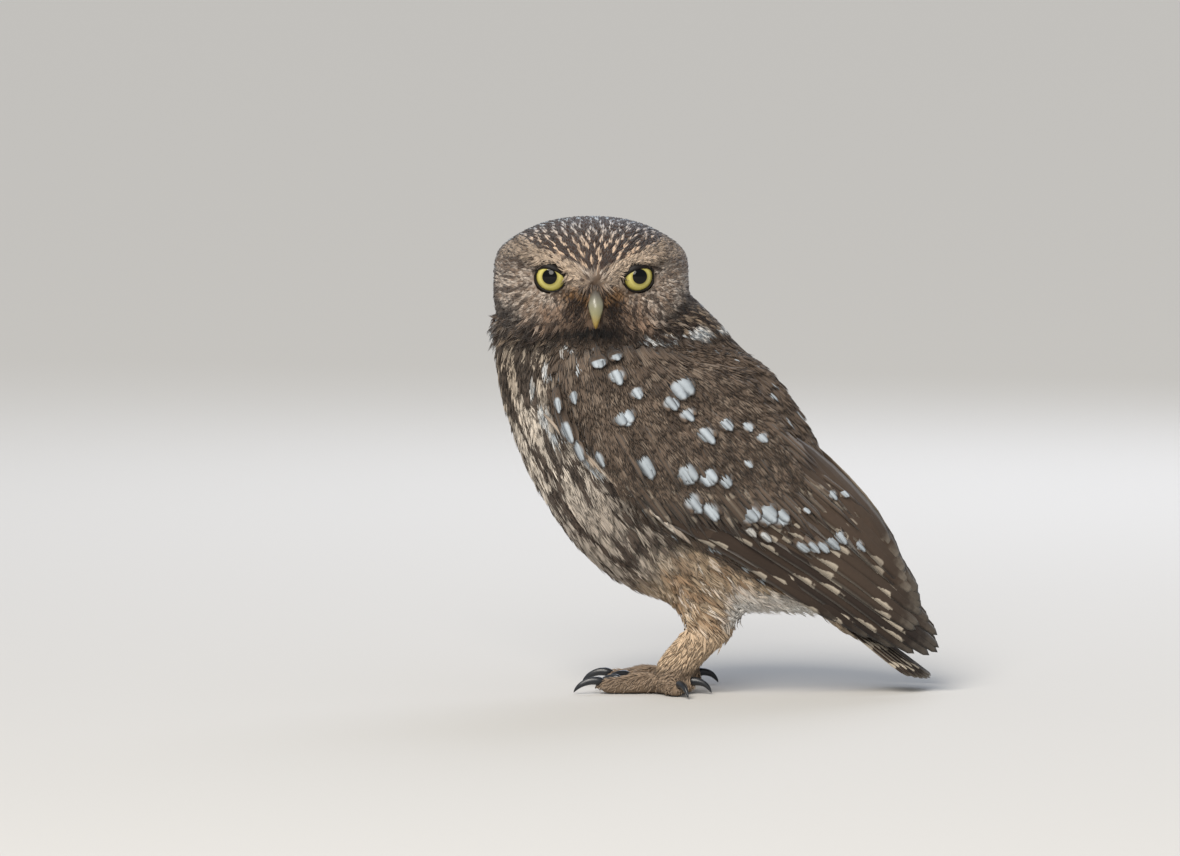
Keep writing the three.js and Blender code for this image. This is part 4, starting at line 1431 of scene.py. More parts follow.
# The sums of the feathers' finish: a name, what is done, and the names or numbers it is done to. A STEP rises
# smoothly from 0 at its second number to 1 at its third.
SUMS = [
    ("wobble", "MULTIPLY_ADD", "grain", 0.5, -0.25),
    ("shake", "MULTIPLY", "wobble", 0.14),
    ("along", "ADD", "up", "shake"),
    ("beside", "MULTIPLY_ADD", "across", 2.0, -1.0),
    ("from_shaft", "ABSOLUTE", "beside"),
    # An oval spot near the tip
    ("spot_gap", "SUBTRACT", "along", SPOT_AT),
    ("spot_share", "DIVIDE", "spot_gap", 0.26),
    ("spot_up", "POWER", "spot_share", 2.0),
    ("spot_side", "DIVIDE", "from_shaft", 0.86),
    ("spot_across", "POWER", "spot_side", 2.0),
    ("spot_edge", "ADD", "spot_up", "spot_across"),
    ("spot", "STEP", "spot_edge", 1.3, 0.55),
    # A streak along the shaft
    ("streak_edge", "ADD", "from_shaft", "wobble"),
    ("streak_side", "STEP", "streak_edge", 0.52, 0.28),
    ("streak_root", "STEP", "along", 0.12, 0.3),
    ("streak", "MULTIPLY", "streak_side", "streak_root"),
    # Slanting bars on the outer half, out of step from feather to feather
    ("shift", "MULTIPLY", "luck", 2.4),
    ("phase", "MULTIPLY_ADD", "along", 2 * math.pi * BARS, "shift"),
    ("from_edge", "SUBTRACT", 1.0, "across"),
    ("slanted", "MULTIPLY_ADD", "from_edge", -2.5, "phase"),
    ("waves", "SINE", "slanted"),
    ("outer_waves", "MULTIPLY_ADD", "from_edge", -2.2, "waves"),
    ("bands", "STEP", "outer_waves", 0.3, 0.5),
    ("bands_end", "STEP", "along", 0.99, 0.9),
    ("bars", "MULTIPLY", "bands", "bands_end"),
    # A rim along the edges and the tip
    ("side_rim", "STEP", "from_shaft", 0.72, 0.95),
    ("tip_rim", "STEP", "along", 0.9, 0.99),
    ("rim", "MAXIMUM", "side_rim", "tip_rim"),
    # The marks that the feather has
    ("spots_shown", "MULTIPLY", "spot", "in_spots"),
    ("streaks_shown", "MULTIPLY", "streak", "in_streaks"),
    ("bars_shown", "MULTIPLY", "bars", "in_bars"),
    ("rims_shown", "MULTIPLY", "rim", "in_rim"),
    ("small_marks", "MAXIMUM", "spots_shown", "streaks_shown"),
    ("marks", "MAXIMUM", "small_marks", "bars_shown"),
    ("shown", "MAXIMUM", "marks", "rims_shown"),
    # The barbs, slanting off the shaft
    ("real_side", "ABSOLUTE", "real_across"),
    ("fall", "MULTIPLY", "real_side", 1.1),
    ("run", "SUBTRACT", "real_up", "fall"),
    ("barb_turn", "MULTIPLY", "run", 2 * math.pi / BARB_SPACING),
    ("line", "SINE", "barb_turn"),
    ("shaft", "STEP", "real_side", 0.16, 0.05),
    ("ridge", "MULTIPLY", "line", 0.5),
    ("height", "ADD", "ridge", "shaft"),
    # How light the vane is: painted light and shade along the barbs' ridges, painted shade towards its root,
    # where the feathers over it overlap, and dusky at a barred feather's tip
    # Painted light and shade: each barb's ridge a little lighter and the groove beside it darker
    ("barb_light_and_shade", "MULTIPLY_ADD", "line", 0.07, 0.96),
    ("blotch", "MULTIPLY", "wobble", 0.5),
    ("uneven", "ADD", "barb_light_and_shade", "blotch"),
    # Painted shade: the root half of each vane darker, as if shaded by the feathers that overlap it
    ("root", "STEP", "up", -0.5, 0.5),
    ("root_shaded", "MULTIPLY", "uneven", "root"),
    ("tip", "POWER", "up", 3.0),
    ("dusk", "MULTIPLY", "in_bars", "tip"),
    ("between_bars", "SUBTRACT", 1.0, "bars"),
    ("dim", "MULTIPLY", "dusk", "between_bars"),
    ("dusky", "MULTIPLY_ADD", "dim", -0.62, 1.0),
    ("tone", "MULTIPLY", "root_shaded", "dusky"),
]


@dataclass(frozen=True)
class PlumageFinish:
    """Feathers are keratin: matt, faintly silky, with a shaft and fine barbs, marked each in its own vane."""

    roughness: float = 0.72
    sheen: float = 0.12

    def build(self) -> Material:
        """Makes the material of every feather, in which the light dies softly and the barbs show up close."""
        surface = {"Roughness": self.roughness, "Specular IOR Level": 0.25}
        surface |= {"Sheen Weight": self.sheen, "Sheen Roughness": 0.5}
        material, tree, shader = new_material("feather_keratin", surface)
        base = add_node(tree, "Attribute", attribute_name="Ground")
        mark = add_node(tree, "Attribute", attribute_name="Mark").outputs["Color"]
        pattern = add_node(tree, "Attribute", attribute_name="Pattern")
        kinds = add_node(tree, "SeparateColor", {0: pattern.outputs["Color"]}).outputs
        vane = add_node(tree, "UVMap", uv_map="Vane").outputs[0]
        barb = add_node(tree, "UVMap", uv_map="Barb").outputs[0]
        object_place = add_node(tree, "TexCoord").outputs["Object"]
        grain = add_node(tree, "TexNoise", {"Vector": object_place, "Scale": 420.0, "Detail": 2.0})
        made = {"luck": base.outputs["Alpha"], "grain": grain.outputs["Fac"]}
        made["in_spots"], made["in_streaks"], made["in_bars"] = kinds[0], kinds[1], kinds[2]
        made["in_rim"] = pattern.outputs["Alpha"]
        for name, place in (("", vane), ("real_", barb)):
            parts = add_node(tree, "SeparateXYZ", {0: place}).outputs
            made[name + "across"], made[name + "up"] = parts["X"], parts["Y"]
        for name, operation, *inputs in SUMS:
            values = [made.get(value, value) for value in inputs]
            if operation == "STEP":
                sockets = dict(zip(("Value", "From Min", "From Max"), values))
                node = add_node(tree, "MapRange", sockets, interpolation_type="SMOOTHSTEP")
            else:
                node = add_node(tree, "Math", dict(enumerate(values)), operation=operation)
            made[name] = node.outputs[0]
        # A mix of colours has its two colours at inputs 6 and 7 and the result at output 2.
        colours = {0: made["shown"], 6: base.outputs["Color"], 7: mark}
        mix = add_node(tree, "Mix", colours, data_type="RGBA")
        dressed = add_node(tree, "HueSaturation", {"Color": mix.outputs[2], "Value": made["tone"]})
        tree.links.new(dressed.outputs[0], shader.inputs["Base Color"])
        relief = {"Height": made["height"], "Strength": 0.35, "Distance": 0.00008}
        bump = add_node(tree, "Bump", relief)
        tree.links.new(bump.outputs[0], shader.inputs["Normal"])
        return material


@dataclass(frozen=True)
class Grain:
    """A fine unevenness of a surface, seen as lighter and darker and felt as relief."""

    scale: float
    detail: float
    tones: tuple[float, float]
    strength: float = 0.0
    depth: float = 0.0

    def dress(
        self,
        tree: NodeTree,
        shader: Node,
        colour: NodeSocket,
        place: NodeSocket,
    ) -> None:
        """Gives a surface its colour, varied by the grain.

        Args:
            tree: The material's nodes.
            shader: Its surface.
            colour: The colour without grain.
            place: Where in the grain each point is.
        """
        noise = {"Vector": place, "Scale": self.scale, "Detail": self.detail}
        grain = add_node(tree, "TexNoise", noise).outputs["Fac"]
        span = {"Value": grain, "To Min": self.tones[0], "To Max": self.tones[1]}
        tone = add_node(tree, "MapRange", span).outputs[0]
        dressed = add_node(tree, "HueSaturation", {"Color": colour, "Value": tone})
        tree.links.new(dressed.outputs[0], shader.inputs["Base Color"])
        if self.strength:
            relief = {"Height": grain, "Strength": self.strength, "Distance": self.depth}
            bump = add_node(tree, "Bump", relief)
            tree.links.new(bump.outputs[0], shader.inputs["Normal"])


@dataclass(frozen=True)
class DownFinish:
    """Down and skin under the feathers: matt, mottled with the coat's own colours."""

    grain: float = 1.4  # millimetres

    def build(self) -> Material:
        """Makes the material of the skin."""
        surface = {"Roughness": 0.9, "Specular IOR Level": 0.15}
        material, tree, shader = new_material("down", surface)
        ground = add_node(tree, "Attribute", attribute_name="Ground").outputs["Color"]
        place = add_node(tree, "TexCoord").outputs["Object"]
        Grain(1 / (self.grain * MM), 4.0, (0.7, 1.3), 0.6, 0.0004).dress(tree, shader, ground, place)
        return material


def lofted(rings: Sequence[Array], circling: bool = False) -> BMesh:
    """Makes a closed skin through rings of points.

    Args:
        rings: The points of each ring, all of one number.
        circling: Whether the last ring is joined to the first; otherwise both get a cap.

    Returns:
        The closed shape.
    """
    shape = bmesh.new()
    loops = []
    for ring in rings:
        made = bmesh.ops.create_circle(shape, cap_ends=False, segments=len(ring), radius=1.0)["verts"]
        for vertex, place in zip(made, ring):
            vertex.co = place
        loops.append(list({edge for vertex in made for edge in vertex.link_edges}))
    following = loops[1:] + loops[:1] if circling else loops[1:]
    for first, second in zip(loops, following):
        bmesh.ops.bridge_loops(shape, edges=first + second)
    ends = [edge for edge in shape.edges if edge.is_boundary]
    bmesh.ops.holes_fill(shape, edges=ends, sides=0)
    bmesh.ops.recalc_face_normals(shape, faces=shape.faces)
    return shape


def finished(name: str, shape: BMesh) -> Mesh:
    """Turns a shape into a smooth mesh and frees it."""
    mesh = bpy.data.meshes.new(name)
    shape.to_mesh(mesh)
    shape.free()
    mesh.shade_smooth()
    return mesh


def through(points: Sequence[Sequence[float]], shares: Array) -> Array:
    """Gives points of a smooth curve through a few points.

    Args:
        points: What the curve passes through.
        shares: Places along it from 0 to 1.

    Returns:
        One point for each share.
    """
    knots = np.array(points, float)
    padded = np.vstack([2 * knots[0] - knots[1], knots, 2 * knots[-1] - knots[-2]])
    place = np.clip(shares, 0, 1) * (len(knots) - 1)
    index = np.minimum(place.astype(int), len(knots) - 2)
    t = (place - index)[:, None]
    a, b, c, d = (padded[index + i] for i in range(4))
    return 0.5 * (2 * b + (c - a) * t + (2 * a - 5 * b + 4 * c - d) * t**2 + (3 * b - a - 3 * c + d) * t**3)


def bend(points: Sequence[Sequence[float]], shares: Array) -> Array:
    """Gives points of a quadratic bend that leaves the first point and reaches the last."""
    start, pull, end = (np.array(point, float) for point in points)
    t = np.asarray(shares, float)[:, None]
    return start * (1 - t) ** 2 + 2 * pull * t * (1 - t) + end * t * t


class WingGuide:
    """The outer surface of a folded wing as a height over the middle plane at each point of the side view."""

    step = 2.0
    low = np.array([-64.0, -12.0])
    size = (96, 82)
    steepest = 1.4

    def __init__(self, wing: Surface) -> None:
        """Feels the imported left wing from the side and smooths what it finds.

        Args:
            wing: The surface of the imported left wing.
        """
        heights = np.full(self.size, np.nan)
        for i in range(self.size[0]):
            for j in range(self.size[1]):
                x, z = self.low + self.step * np.array([i, j])
                hit, _, _, _ = wing.tree.ray_cast(Vector((x, -90, z)), Vector((0, 1, 0)))
                if hit is not None:
                    heights[i, j] = -hit[1]
        known = ~np.isnan(heights)
        filled = np.where(known, heights, 0.0)
        weight = known.astype(float)
        for _ in range(160):
            spread_height, spread_weight = self.softened(filled * weight), self.softened(weight)
            fresh = np.zeros_like(filled)
            np.divide(spread_height, spread_weight, out=fresh, where=spread_weight > 1e-6)
            filled = np.where(known, heights, fresh)
            weight = np.where(known, 1.0, np.minimum(1.0, spread_weight))
        for _ in range(3):
            filled = self.softened(filled)
        self.heights = filled

    @staticmethod
    def softened(grid: Array) -> Array:
        """Averages each value of a grid with its neighbours."""
        wide = np.pad(grid, 1, mode="edge")
        rows = wide[:-2] + 2 * wide[1:-1] + wide[2:]
        return (rows[:, :-2] + 2 * rows[:, 1:-1] + rows[:, 2:]) / 16

    def height(self, x: Array, z: Array) -> Array:
        """Gives the height at points of the side view.

        Args:
            x: The places' x.
            z: The places' z.

        Returns:
            Millimetres off the middle plane.
        """
        i = np.clip((x - self.low[0]) / self.step, 0, self.size[0] - 1.001)
        j = np.clip((z - self.low[1]) / self.step, 0, self.size[1] - 1.001)
        a, b = i.astype(int), j.astype(int)
        u, v = i - a, j - b
        grid = self.heights
        near = grid[a, b] * (1 - u) + grid[a + 1, b] * u
        far = grid[a, b + 1] * (1 - u) + grid[a + 1, b + 1] * u
        return near * (1 - v) + far * v

    def place(self, x: Array, z: Array, lift: Array) -> tuple[Array, Array]:
        """Gives points of the left wing at a height over the guide, and the normals there.

        Args:
            x: The places' x.
            z: The places' z.
            lift: Millimetres over the guide.

        Returns:
            The points and their normals.
        """
        slope_x = (self.height(x + 1.5, z) - self.height(x - 1.5, z)) / 3
        slope_z = (self.height(x, z + 1.5) - self.height(x, z - 1.5)) / 3
        slope_x = np.clip(slope_x, -self.steepest, self.steepest)
        slope_z = np.clip(slope_z, -self.steepest, self.steepest)
        normals = unit(np.stack([-slope_x, -np.ones_like(x), -slope_z], axis=-1))
        surface = np.stack([x, -self.height(x, z), z], axis=-1)
        return surface + normals * lift[..., None], normals


@dataclass(frozen=True)
class WingRow:
    """A row of feathers on a folded wing. Roots and tips are bends from the lowest feather to the highest."""

    count: int
    roots: tuple[tuple[float, float], ...]
    tips: tuple[tuple[float, float], ...]
    half_width: float
    tints: tuple[Tint, Tint]
    mark: Tint
    lift: float = 0.0
    sink: float = 3.0
    tilt: float = 0.16
    bow: float = 0.03
    spot: float = 0.0
    bar: float = 0.0
    edge: float = 0.0
    strands: int = 1
    form: VaneForm = STIFF_VANE

    def feathers(self, guide: WingGuide) -> Feathers:
        """Lays the row's feathers on the left wing.

        Args:
            guide: The surface that they lie on.

        Returns:
            The feathers of the left wing.
        """
        draw = np.random.default_rng(self.count * 7 + int(self.half_width * 10))
        order = np.linspace(0, 1, self.count)
        roots, tips = bend(self.roots, order), bend(self.tips, order)
        tips = tips + draw.normal(0, 0.35, tips.shape)
        forward = tips - roots
        up = unit(np.stack([-forward[:, 1], forward[:, 0]], axis=1))
        shares = np.array(self.form.along + (1.0,))
        lengths = np.linalg.norm(forward, axis=1)
        rise = self.bow * lengths[:, None] * np.sin(math.pi * shares[None])
        flat = roots[:, None] + forward[:, None] * shares[None, :, None] + up[:, None] * rise[..., None]
        lift = self.lift - self.sink * (1 - shares) ** 1.5
        paths, normals = guide.place(flat[..., 0], flat[..., 1], np.tile(lift, (self.count, 1)))
        lean = np.stack([-up[:, 0], np.zeros(self.count), -up[:, 1]], axis=1)
        normals = unit(normals - lean[:, None] * self.tilt)
        chance = draw.random(self.count)
        ground = mixed(tinted(self.count, self.tints[0]), tinted(self.count, self.tints[1]), chance)
        marks = [np.full(self.count, value) for value in (self.spot, 0.0, self.bar, self.edge)]
        plumes = Plumes(ground, tinted(self.count, self.mark), *marks)
        batch = Feathers(paths, normals, np.full(self.count, self.half_width), plumes, camber=0.06)
        if self.strands == 1:
            return batch
        return split(batch, self.strands, 0.42, 0.12, self.count, 1.9)


WING_ROWS = [
    # Primaries
    WingRow(
        9, ((0, 70), (14, 75), (36, 77)), ((72, 26), (119, 2), (104, 25)), 3.4,
        (Tint.FLIGHT, Tint.FLIGHT_LIGHT), Tint.CREAM, lift=0.2, sink=1.5, tilt=0.2, bar=0.95, edge=0.22,
    ),
    # Secondaries
    WingRow(
        8, ((20, 76), (38, 85), (54, 88)), ((99, 22), (105, 31), (95, 42)), 4.0,
        (Tint.FLIGHT_LIGHT, Tint.MANTLE_DARK), Tint.CREAM, lift=0.6, sink=1.5, tilt=0.16, bar=0.95, edge=0.35,
    ),
    # Tertials
    WingRow(
        5, ((42, 86), (50, 90), (56, 92)), ((97, 36), (95, 43), (89, 53)), 4.6,
        (Tint.MANTLE_DARK, Tint.FLIGHT_LIGHT), Tint.CREAM, lift=0.9, sink=1.5, tilt=0.1, bar=0.6, edge=0.4,
    ),
    # Greater coverts
    WingRow(
        11, ((-16, 92), (14, 97), (44, 92)), ((14, 57), (56, 46), (84, 60)), 4.4,
        (Tint.MANTLE, Tint.MANTLE_DARK), Tint.CREAM, lift=0.5, sink=1.2, tilt=0.04, bar=0.35, edge=0.2,
        strands=7, form=STRAND,
    ),
    # Median coverts
    WingRow(
        12, ((-20, 104), (4, 109), (34, 106)), ((-1, 76), (26, 68), (64, 78)), 4.4,
        (Tint.MANTLE, Tint.MANTLE_DARK), Tint.MANTLE_EDGE, lift=0.7, sink=1.0, tilt=0.02, edge=0.2, strands=7,
        form=STRAND,
    ),
    # Thin pale feathers of the front edge
    WingRow(
        21, ((-35, 101), (-18, 84), (10, 62)), ((-27, 93), (-9, 75), (19, 55)), 0.9,
        (Tint.BROW_END, Tint.BREAST_LIGHT), Tint.CREAM, lift=0.5, sink=1.2, tilt=0.0, form=STRAND,
    ),
]  # fmt: skip

# Spots that show on the near wing: the photograph's column and row, then across and along in pixels.
SPOTS = [
    (600, 360, 11, 9), (617, 354, 9, 7), (618, 372, 12, 14), (637, 388, 9, 12), (625, 413, 16, 15),
    (683, 384, 17, 21), (671, 399, 11, 16), (687, 410, 11, 15), (706, 429, 12, 18), (725, 419, 9, 14),
    (746, 422, 8, 12), (760, 432, 9, 10), (747, 457, 5, 10), (647, 460, 12, 26), (688, 468, 15, 20),
    (708, 470, 13, 15), (725, 473, 10, 13), (694, 496, 12, 28), (712, 504, 10, 22), (750, 508, 13, 17),
    (766, 508, 15, 18), (779, 512, 13, 17), (830, 491, 7, 10),
    (842, 491, 5, 9), (560, 400, 6, 14), (575, 392, 6, 12), (583, 446, 9, 20), (603, 452, 8, 18),
    (570, 428, 10, 22), (804, 505, 4, 8), (801, 539, 6, 12), (811, 541, 6, 12), (822, 542, 6, 13),
    (831, 538, 7, 14), (838, 531, 8, 15), (857, 541, 6, 14), (750, 524, 5, 11), (764, 529, 5, 11),
]  # fmt: skip


@dataclass(frozen=True)
class Wings:
    """The folded wings: rows of flight feathers and coverts, with the spotted feathers laid over them."""

    covert_top: tuple[tuple[float, float], ...] = ((-32, 123), (2, 132), (36, 118))
    covert_bottom: tuple[tuple[float, float], ...] = ((-10, 76), (18, 73), (58, 79))
    covert_spacing: float = 1.75
    covert_length: float = 9.5

    def coverts(self, guide: WingGuide) -> Feathers:
        """Lays the small soft coverts that hide the roots of the larger ones.

        Args:
            guide: The surface that they lie on.

        Returns:
            The feathers of the left wing.
        """
        draw = np.random.default_rng(61)
        columns = int(82 / self.covert_spacing)
        lines = int(44 / self.covert_spacing)
        place, depth = (grid.ravel() for grid in np.meshgrid(np.arange(columns), np.arange(lines)))
        place = (place + draw.random(len(place))) / columns
        depth = (depth + draw.random(len(depth))) / lines
        flat = mixed(bend(self.covert_top, place), bend(self.covert_bottom, place), depth)
        count = len(flat)
        roots, normals = guide.place(flat[:, 0], flat[:, 1], np.zeros(count))
        ways = lie(roots, normals)
        ways = unit(np.stack([ways[:, 0], ways[:, 2]], axis=1) + draw.normal(0, 0.07, (count, 2)))
        shares = np.array(STRAND.along + (1.0,))
        lengths = self.covert_length * draw.uniform(0.8, 1.15, count)
        places = flat[:, None] + ways[:, None] * (lengths[:, None] * shares)[..., None]
        tucked = 2.4 * ramp(depth, 0.14, 0.02)[:, None] * (1 - shares)
        lift = shares * draw.uniform(1.5, 2.1, count)[:, None] - 0.7 - tucked
        paths, along = guide.place(places[..., 0], places[..., 1], lift)
        tone = ramp(1.2 * ripple(paths[:, -1], 7, 12) + draw.normal(0, 0.3, count), -0.7, 0.7)
        ground = blend(Tint.MANTLE_DARK, Tint.MANTLE, tone)
        ground = washed(ground, Tint.MANTLE_EDGE, 0.5 * (draw.random(count) > 0.8))
        ground = MARKINGS.with_patches(paths[:, 1], ground)
        plumes = Plumes.plain(ground, tinted(count, Tint.MANTLE_EDGE))
        plumes.edge[:] = 0.3 * (draw.random(count) > 0.5)
        return split(Feathers(paths, along, np.full(count, 1.5), plumes), 4, 0.5, 0.3, 62)

    def spotted(self, guide: WingGuide) -> Feathers:
        """Lays a marked feather at each spot of the near wing.

        Args:
            guide: The surface that they lie on.

        Returns:
            The feathers of the left wing.
        """
        spots = np.array(SPOTS, float)
        x, z = pixel(spots[:, 0], spots[:, 1])
        middle, normals = guide.place(x, z, np.zeros(len(spots)))
        ways = lie(middle, normals)
        ways = unit(np.stack([ways[:, 0], ways[:, 2]], axis=1))
        length = np.clip(spots[:, 3] * PIXEL / 0.45, 6, 18)
        half = spots[:, 2] * PIXEL / 2 / 0.62
        shares = np.array(FLAT_STRAND.along + (1.0,))
        steps = (shares - SPOT_AT) * length[:, None]
        flat = np.stack([x, z], axis=1)[:, None] + ways[:, None] * steps[..., None]
        lift = np.tile(1.9 - 4.5 * (1 - shares) ** 2, (len(spots), 1))
        paths, along = guide.place(flat[..., 0], flat[..., 1], lift)
        count = len(spots)
        chance = np.random.default_rng(5).random(count)
        ground = blend(Tint.MANTLE, Tint.MANTLE_DARK, chance)
        ground = MARKINGS.with_patches(paths[:, 0], ground)
        warm = ramp(spots[:, 1], 512, 526) * ramp(spots[:, 0], 800, 700)
        plumes = Plumes.plain(ground, blend(Tint.SPOT, Tint.CREAM, warm))
        plumes.spot[:] = 1.0
        return split(Feathers(paths, along, half, plumes, camber=0.06), 5, 0.4, 0.1, 6, 2.5, 0.35)

    @staticmethod
    def guide(frame: dict[str, Any], nodes: Sequence[str], drawing: Drawing) -> WingGuide:
        """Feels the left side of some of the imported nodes."""
        packed = finished("packed_side", copied_nodes(frame, nodes, 0.0))
        guide = WingGuide(Surface(packed, drawing))
        bpy.data.meshes.remove(packed)
        return guide

    def build(self, frame: dict[str, Any], drawing: Drawing, material: Material) -> None:
        """Makes both wings.

        Args:
            frame: The loaded frame.
            drawing: The drawing's place in the frame.
            material: The feathers' material.
        """
        wing = self.guide(frame, ["wing_left"], drawing)
        flank = self.guide(frame, ["wing_left", "torso", "neck"], drawing)
        batches = [(row.form, row.feathers(wing)) for row in WING_ROWS]
        batches += [(STRAND, self.coverts(flank)), (FLAT_STRAND, self.spotted(flank))]
        for side, name in ((-1, "wing_left"), (1, "wing_right")):
            turned = [(form, batch if side < 0 else batch.mirrored()) for form, batch in batches]
            mesh = feather_mesh(name + "_feathers", turned, drawing)
            piece = add_piece(name + "_feathers", mesh, material)
            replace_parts(piece, name)


@dataclass(frozen=True)
class Tail:
    """The tail: six pairs of barred feathers, the middle pair on top, and soft coverts round the root."""

    root: tuple[float, float, float] = (66.0, 0.0, 34.5)
    tilt_deg: float = 37.0
    arch: float = 0.011
    pairs: int = 6
    length: float = 49.0
    half_width: float = 5.0
    layer: float = 0.5
    core_length: float = 30.0

    def place(self, along: Array, across: Array, lift: Array) -> Array:
        """Gives points of the tail by how far down it, how far across and how high over it they are.

        Args:
            along: Millimetres from the root.
            across: Millimetres from the tail's middle line.
            lift: Millimetres over the fan.

        Returns:
            Places in the drawing.
        """
        tilt = math.radians(self.tilt_deg)
        down = np.array([math.cos(tilt), 0, -math.sin(tilt)])
        up = np.array([math.sin(tilt), 0, math.cos(tilt)])
        rise = lift - self.arch * across**2
        points = np.array(self.root) + along[..., None] * down + rise[..., None] * up
        points[..., 1] = across
        return points

    def vanes(self) -> Feathers:
        """Lays the twelve tail feathers."""
        draw = np.random.default_rng(31)
        pair = np.repeat(np.arange(self.pairs), 2)
        side = np.tile([-1.0, 1.0], self.pairs)
        shares = np.array(STIFF_VANE.along + (1.0,))
        reach = self.length - 0.3 * pair**2 + draw.normal(0, 0.4, len(pair))
        spread = (3.4 + 1.75 * pair)[:, None] * (0.6 + 0.4 * shares[None])
        across = side[:, None] * spread
        lift = np.tile(-self.layer * pair[:, None], (1, len(shares)))
        paths = self.place(reach[:, None] * shares[None], across, lift)
        tilt = math.radians(self.tilt_deg)
        slope = 2 * self.arch * across
        up = np.array([math.sin(tilt), 0, math.cos(tilt)])
        normals = unit(up + np.stack([np.zeros_like(slope), slope, np.zeros_like(slope)], axis=-1))
        count = len(pair)
        ground = blend(Tint.FLIGHT, Tint.FLIGHT_LIGHT, draw.random(count))
        nothing = np.zeros(count)
        plumes = Plumes(ground, tinted(count, Tint.CREAM), nothing, nothing, nothing + 0.85, nothing + 0.5)
        return Feathers(paths, normals, np.full(count, self.half_width), plumes, camber=0.05)

    def core(self) -> BMesh:
        """Makes the plain body under the coverts."""
        rings = []
        turns = np.linspace(0, 2 * math.pi, 28, endpoint=False)
        for share in np.linspace(0.02, 0.98, 14):
            round_end = math.sqrt(max(0.0, 1 - (2 * share - 1) ** 2)) ** 0.6
            wide = (11.2 - 2.6 * share) * round_end
            above, below = (3.2 - 2.6 * share) * round_end, (7.0 - 2.2 * share) * round_end
            across = wide * np.cos(turns)
            lift = np.sin(turns) * np.where(np.sin(turns) > 0, above, below) + self.arch * across**2 / 2
            rings.append(self.place(np.full(28, share * self.core_length - 4), across, lift))
        return lofted(rings)

    def coverts(self, surface: Surface) -> Feathers:
        """Grows soft coverts from the core, buff and whitish below and brown above.

        Args:
            surface: The surface of the core.

        Returns:
            The feathers.
        """
        roots, normals = surface.scattered(1.5, 41, lambda points, _: np.ones(len(points)))
        draw = np.random.default_rng(42)
        count = len(roots)
        way = self.place(np.array([1.0]), np.zeros(1), np.zeros(1))[0] - np.array(self.root)
        ways = unit(way - normals * (normals @ way)[:, None])
        above = ramp(normals[:, 2], -0.1, 0.4)
        below = blend(Tint.VENT, Tint.BELLY, draw.random(count))
        top = blend(Tint.MANTLE, Tint.MANTLE_DARK, draw.random(count))
        plumes = Plumes.plain(mixed(below, top, above), tinted(count, Tint.CREAM))
        plumes.streak[:] = 0.3 * (1 - above)
        lengths = draw.uniform(8, 11, count)
        paths, along = laid(surface, roots, ways, lengths, STRAND, 0.3, draw.uniform(0.5, 1.4, count))
        return split(Feathers(paths, along, np.full(count, 1.5), plumes), 4, 0.6, 0.4, 43)

    def build(self, drawing: Drawing, material: Material, down: Material) -> None:
        """Makes the tail's pieces.

        Args:
            drawing: The drawing's place in the frame.
            material: The feathers' material.
            down: The core's material.
        """
        core = finished("tail_core", self.core())
        places = np.array([vertex.co for vertex in core.vertices])
        plumes = MARKINGS.body(places)
        # Painted shade: the core shows only between the coverts, as shaded down, so its colour is darkened
        plumes.ground = tinted(len(places), Tint.VENT) * 0.6
        core.vertices.foreach_set("co", drawing.to_frame(places).astype(np.float32).ravel())
        core.update()
        set_colours(core, plumes, np.arange(len(places)))
        core_piece = add_piece("tail_core", core, down)
        surface = Surface(core, drawing)
        batches = [(STIFF_VANE, self.vanes()), (STRAND, self.coverts(surface))]
        mesh = feather_mesh("tail_feathers", batches, drawing)
        piece = add_piece("tail_feathers", mesh, material)
        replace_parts(piece, "tail")
        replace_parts(core_piece, "tail")


